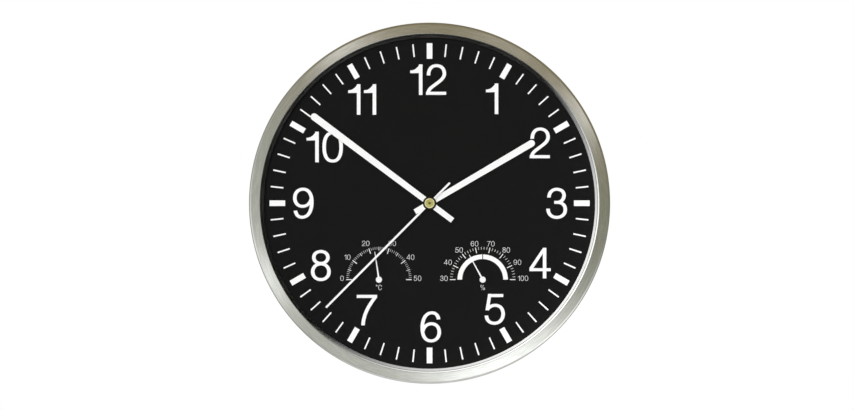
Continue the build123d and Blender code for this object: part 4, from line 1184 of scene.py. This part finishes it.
class CLOCK_OT_finishes(bpy.types.Operator):
    """Give each carried over node its finish"""

    bl_idname = "clock.finishes"
    bl_label = "Finishes"

    def execute(self, context):
        dial = context.scene.clock_dial
        acetal = moulded("gear_white", (0.78, 0.77, 0.73), 0.42, 900.0, 0.03)
        brass = plain_metal("turned_brass", (0.70, 0.52, 0.24), 0.24)
        sheet = plain_metal("sheet_steel", (0.55, 0.55, 0.54), 0.30)
        dark = moulded("housing_dark", (0.024, 0.024, 0.026), 0.42, 1400.0, 0.03)
        bimetal = plain_metal("strip_bimetal", (0.62, 0.46, 0.26), 0.32)
        finishes = {
            "glass_seal": moulded("seal_rubber", (0.015, 0.015, 0.015), 0.75, 1800.0, 0.06),
            "rubber_washer": moulded("washer_rubber", (0.018, 0.018, 0.018), 0.80, 1800.0, 0.06),
            "front_glass": clear_glass("pane_glass"),
            "dial_plate": enamel("dial_paint", dial.black, 0.62, 0.06),
            "back_cover": moulded("cover_black", (0.020, 0.020, 0.021), 0.58, 1100.0, 0.16),
            "chip_cover": moulded("chip_resin", (0.010, 0.010, 0.010), 0.30, 500.0, 0.05),
            "rotor_magnet": plain_metal("magnet_grey", (0.16, 0.16, 0.17), 0.45),
            "drive_coil": copper_winding("coil_copper"),
            "circuit_board": circuit_green("board_mask"),
        }
        shared = (
            (dark, ("movement_case", "movement_cover", "thermometer_case", "hygrometer_case")),
            (brass, ("centre_bush", "dial_washer", "fixing_nut")),
            (brass, ("thermometer_spindle", "hygrometer_spindle")),
            (acetal, ("hour_wheel", "minute_wheel", "second_wheel", "third_wheel", "reduction_wheel")),
            (acetal, ("rotor_pinion", "setting_wheel", "coil_bobbin")),
            (sheet, ("stator", "coil_core", "quartz_crystal", "positive_contact", "negative_contact")),
            (bimetal, ("thermometer_coil", "hygrometer_coil")),
        )
        for material, names in shared:
            finishes.update({name: material for name in names})
        for name, material in finishes.items():
            mesh = frame["nodes"][name].data
            mesh.materials.clear()
            mesh.materials.append(material)
        return {"FINISHED"}


class CLOCK_OT_stage(bpy.types.Operator):
    """Set up the camera, the light and the floor"""

    bl_idname = "clock.stage"
    bl_label = "Stage"

    # Soft cards round the dial's axis, and broader ones further to the side: clock angle in degrees,
    # strength, and the power that narrows each
    cards = (
        (25, 0.24, 40),
        (60, 0.85, 110),
        (158, 1.62, 9),
        (208, 0.22, 30),
        (245, 0.95, 90),
        (255, 0.33, 2),
        (330, 0.85, 110),
        (348, 0.15, 60),
    )
    shoulders = ((140, 1.60, 12), (252, 0.90, 8), (290, 0.20, 6))

    def execute(self, context):
        s = context.scene.clock_stage
        scene = context.scene
        scene.view_settings.view_transform = "Standard"
        camera = bpy.data.objects.new("camera", bpy.data.cameras.new("camera"))
        camera.data.sensor_fit = "HORIZONTAL"
        camera.data.sensor_width = 36.0
        camera.data.lens = s.lens
        camera.location = (arbor[0] + s.shift_x, -s.distance, arbor[1] + s.shift_z)
        camera.rotation_euler = (math.pi / 2, 0.0, 0.0)
        scene.collection.objects.link(camera)
        scene.camera = camera
        key = self.lamp(scene, s, "key", s.key, s.key_lean)
        rake = self.lamp(scene, s, "rake", s.side, s.side_lean)
        # The rake lights only the rim and its inner ring, and the key leaves them out
        for lamp, state in ((key, "EXCLUDE"), (rake, "INCLUDE")):
            ring = bpy.data.collections.new(lamp.name + "_ring")
            for name in ("bright_ring", "rim_shell"):
                ring.objects.link(bpy.data.objects[name])
            for item in ring.collection_objects:
                item.light_linking.link_state = state
            lamp.light_linking.receiver_collection = ring
        self.sky(scene)
        self.floor(s)
        return {"FINISHED"}

    def lamp(self, scene, s, name, strength, lean):
        """Broad distant lamp, leaning from the clock's axis to one side. Gloss shows the cards instead."""
        lamp = bpy.data.lights.new(name, "SUN")
        lamp.energy = strength
        lamp.angle = s.lamp_soft
        made = bpy.data.objects.new(name, lamp)
        side = math.sin(lean)
        towards = Vector((side * math.sin(s.lamp_clock), -math.cos(lean), side * math.cos(s.lamp_clock)))
        made.rotation_euler = towards.to_track_quat("Z", "Y").to_euler()
        made.visible_glossy = False
        scene.collection.objects.link(made)
        return made

    def sky(self, scene):
        """World by direction. Gloss sees a dark middle straight ahead of the dial, a ring of soft cards round
        it, dim sides and the white background behind. Other light is faint in front and even behind. The
        camera sees plain white."""
        world = bpy.data.worlds.new("studio")
        world.cycles.sampling_method = "NONE"
        scene.world = world
        finish = Finish(world)
        x, y, z = finish.axes("Generated")
        front = y * -1.0
        side = (1.0 - front * front).at_least(1e-4).root()
        across = x / side
        up = z / side
        ahead = finish.smooth(front, 0.60, 0.75)
        facing = finish.smooth(front, -0.25, -0.10)
        ring = ahead * (1.0 - finish.smooth(front, 0.955, 0.985))
        shoulder = facing * (1.0 - ahead)
        rear = 1.0 - facing
        behind = finish.smooth(front, -0.75, -0.90)
        bright = self.lobes(across, up, self.cards)
        above = self.lobes(across, up, self.shoulders)
        cards = ring * bright + shoulder * above
        room = ring * 0.33 + shoulder * 0.30 + rear * 0.25 + 0.01
        warmth = finish.smooth(self.lobes(across, up, ((15, 1.0, 1),)), 0.0, 0.9)
        tint = finish.blend(warmth, (0.98, 1.0, 0.78), (1.0, 0.86, 0.52))
        tint = finish.blend(cards / (cards + room), tint, (0.94, 0.955, 1.0))
        shown = self.light(finish, tint, cards + room)
        white = self.light(finish, pure_white, 1.0)
        even = self.light(finish, pure_white, finish.smooth(front, 0.0, -0.25) * 0.9 + 0.012)
        camera, glossy, through = finish.ray_kinds()
        mirrored = glossy.at_least(through)
        seen = camera.at_least(mirrored * behind)
        finish.output(finish.mix(seen, finish.mix(mirrored, even, shown), white), "ShaderNodeOutputWorld")

    def lobes(self, across, up, rows):
        """Sum of soft cards by clock angle: each is a strength times a power of the cosine from its middle,
        on a direction's two parts across the axis."""
        total = 0.0
        for clock, strength, power in rows:
            turn = math.radians(clock)
            facing = across * math.sin(turn) + up * math.cos(turn)
            total = facing.at_least(0.0) ** power * strength + total
        return total

    def light(self, finish, tint, strength):
        return finish.node("ShaderNodeBackground", None, {"Color": tint, "Strength": strength})

    def floor(self, s):
        """Round floor: a thin turned slab about the upright through the hanging point."""
        columns = 96
        turn = full_turn(columns)
        sheet = 0.01
        rows = np.array([(0, 0.0), (s.floor_radius, 0.0), (s.floor_radius, -sheet), (0, -sheet)])
        x = rows[:, :1] * np.cos(turn)
        y = rows[:, :1] * np.sin(turn)
        z = np.broadcast_to(rows[:, 1:2] - s.floor_drop, x.shape)
        points = np.stack([x, y, z], axis=-1).reshape(-1, 3)
        mesh = welded("floor", points, grid_faces(len(rows), columns, False).tolist())
        mesh.materials.append(pale_floor("floor_pale", s.floor_radius))
        floor = bpy.data.objects.new("floor", mesh)
        bpy.context.scene.collection.objects.link(floor)


groups = {
    "clock_rim": RimSizes,
    "clock_dial": DialSizes,
    "clock_gauges": GaugeSizes,
    "clock_hands": HandSizes,
    "clock_back": BackSizes,
    "clock_stage": StageSizes,
}
steps = (
    CLOCK_OT_rim,
    CLOCK_OT_print,
    CLOCK_OT_gauges,
    CLOCK_OT_hands,
    CLOCK_OT_back,
    CLOCK_OT_finishes,
    CLOCK_OT_stage,
)


class CLOCK_PT_panel(bpy.types.Panel):
    """Lists the steps and their sizes"""

    bl_label = "Clock"
    bl_idname = "CLOCK_PT_panel"
    bl_space_type = "VIEW_3D"
    bl_region_type = "UI"
    bl_category = "Clock"

    def draw(self, context):
        for step in steps:
            self.layout.operator(step.bl_idname)
        for name, group in groups.items():
            box = self.layout.box()
            box.label(text=group.__doc__)
            for size in group.__annotations__:
                box.prop(getattr(context.scene, name), size)


def register():
    for name, group in groups.items():
        bpy.utils.register_class(group)
        setattr(bpy.types.Scene, name, PointerProperty(type=group))
    for step in steps:
        bpy.utils.register_class(step)
    bpy.utils.register_class(CLOCK_PT_panel)


def unregister():
    bpy.utils.unregister_class(CLOCK_PT_panel)
    for step in reversed(steps):
        bpy.utils.unregister_class(step)
    for name, group in groups.items():
        delattr(bpy.types.Scene, name)
        bpy.utils.unregister_class(group)


def main():
    register()
    bpy.ops.clock.rim()
    bpy.ops.clock.print()
    bpy.ops.clock.gauges()
    bpy.ops.clock.hands()
    bpy.ops.clock.back()
    bpy.ops.clock.finishes()
    bpy.ops.clock.stage()
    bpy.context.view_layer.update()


if __name__ == "__main__":
    main()
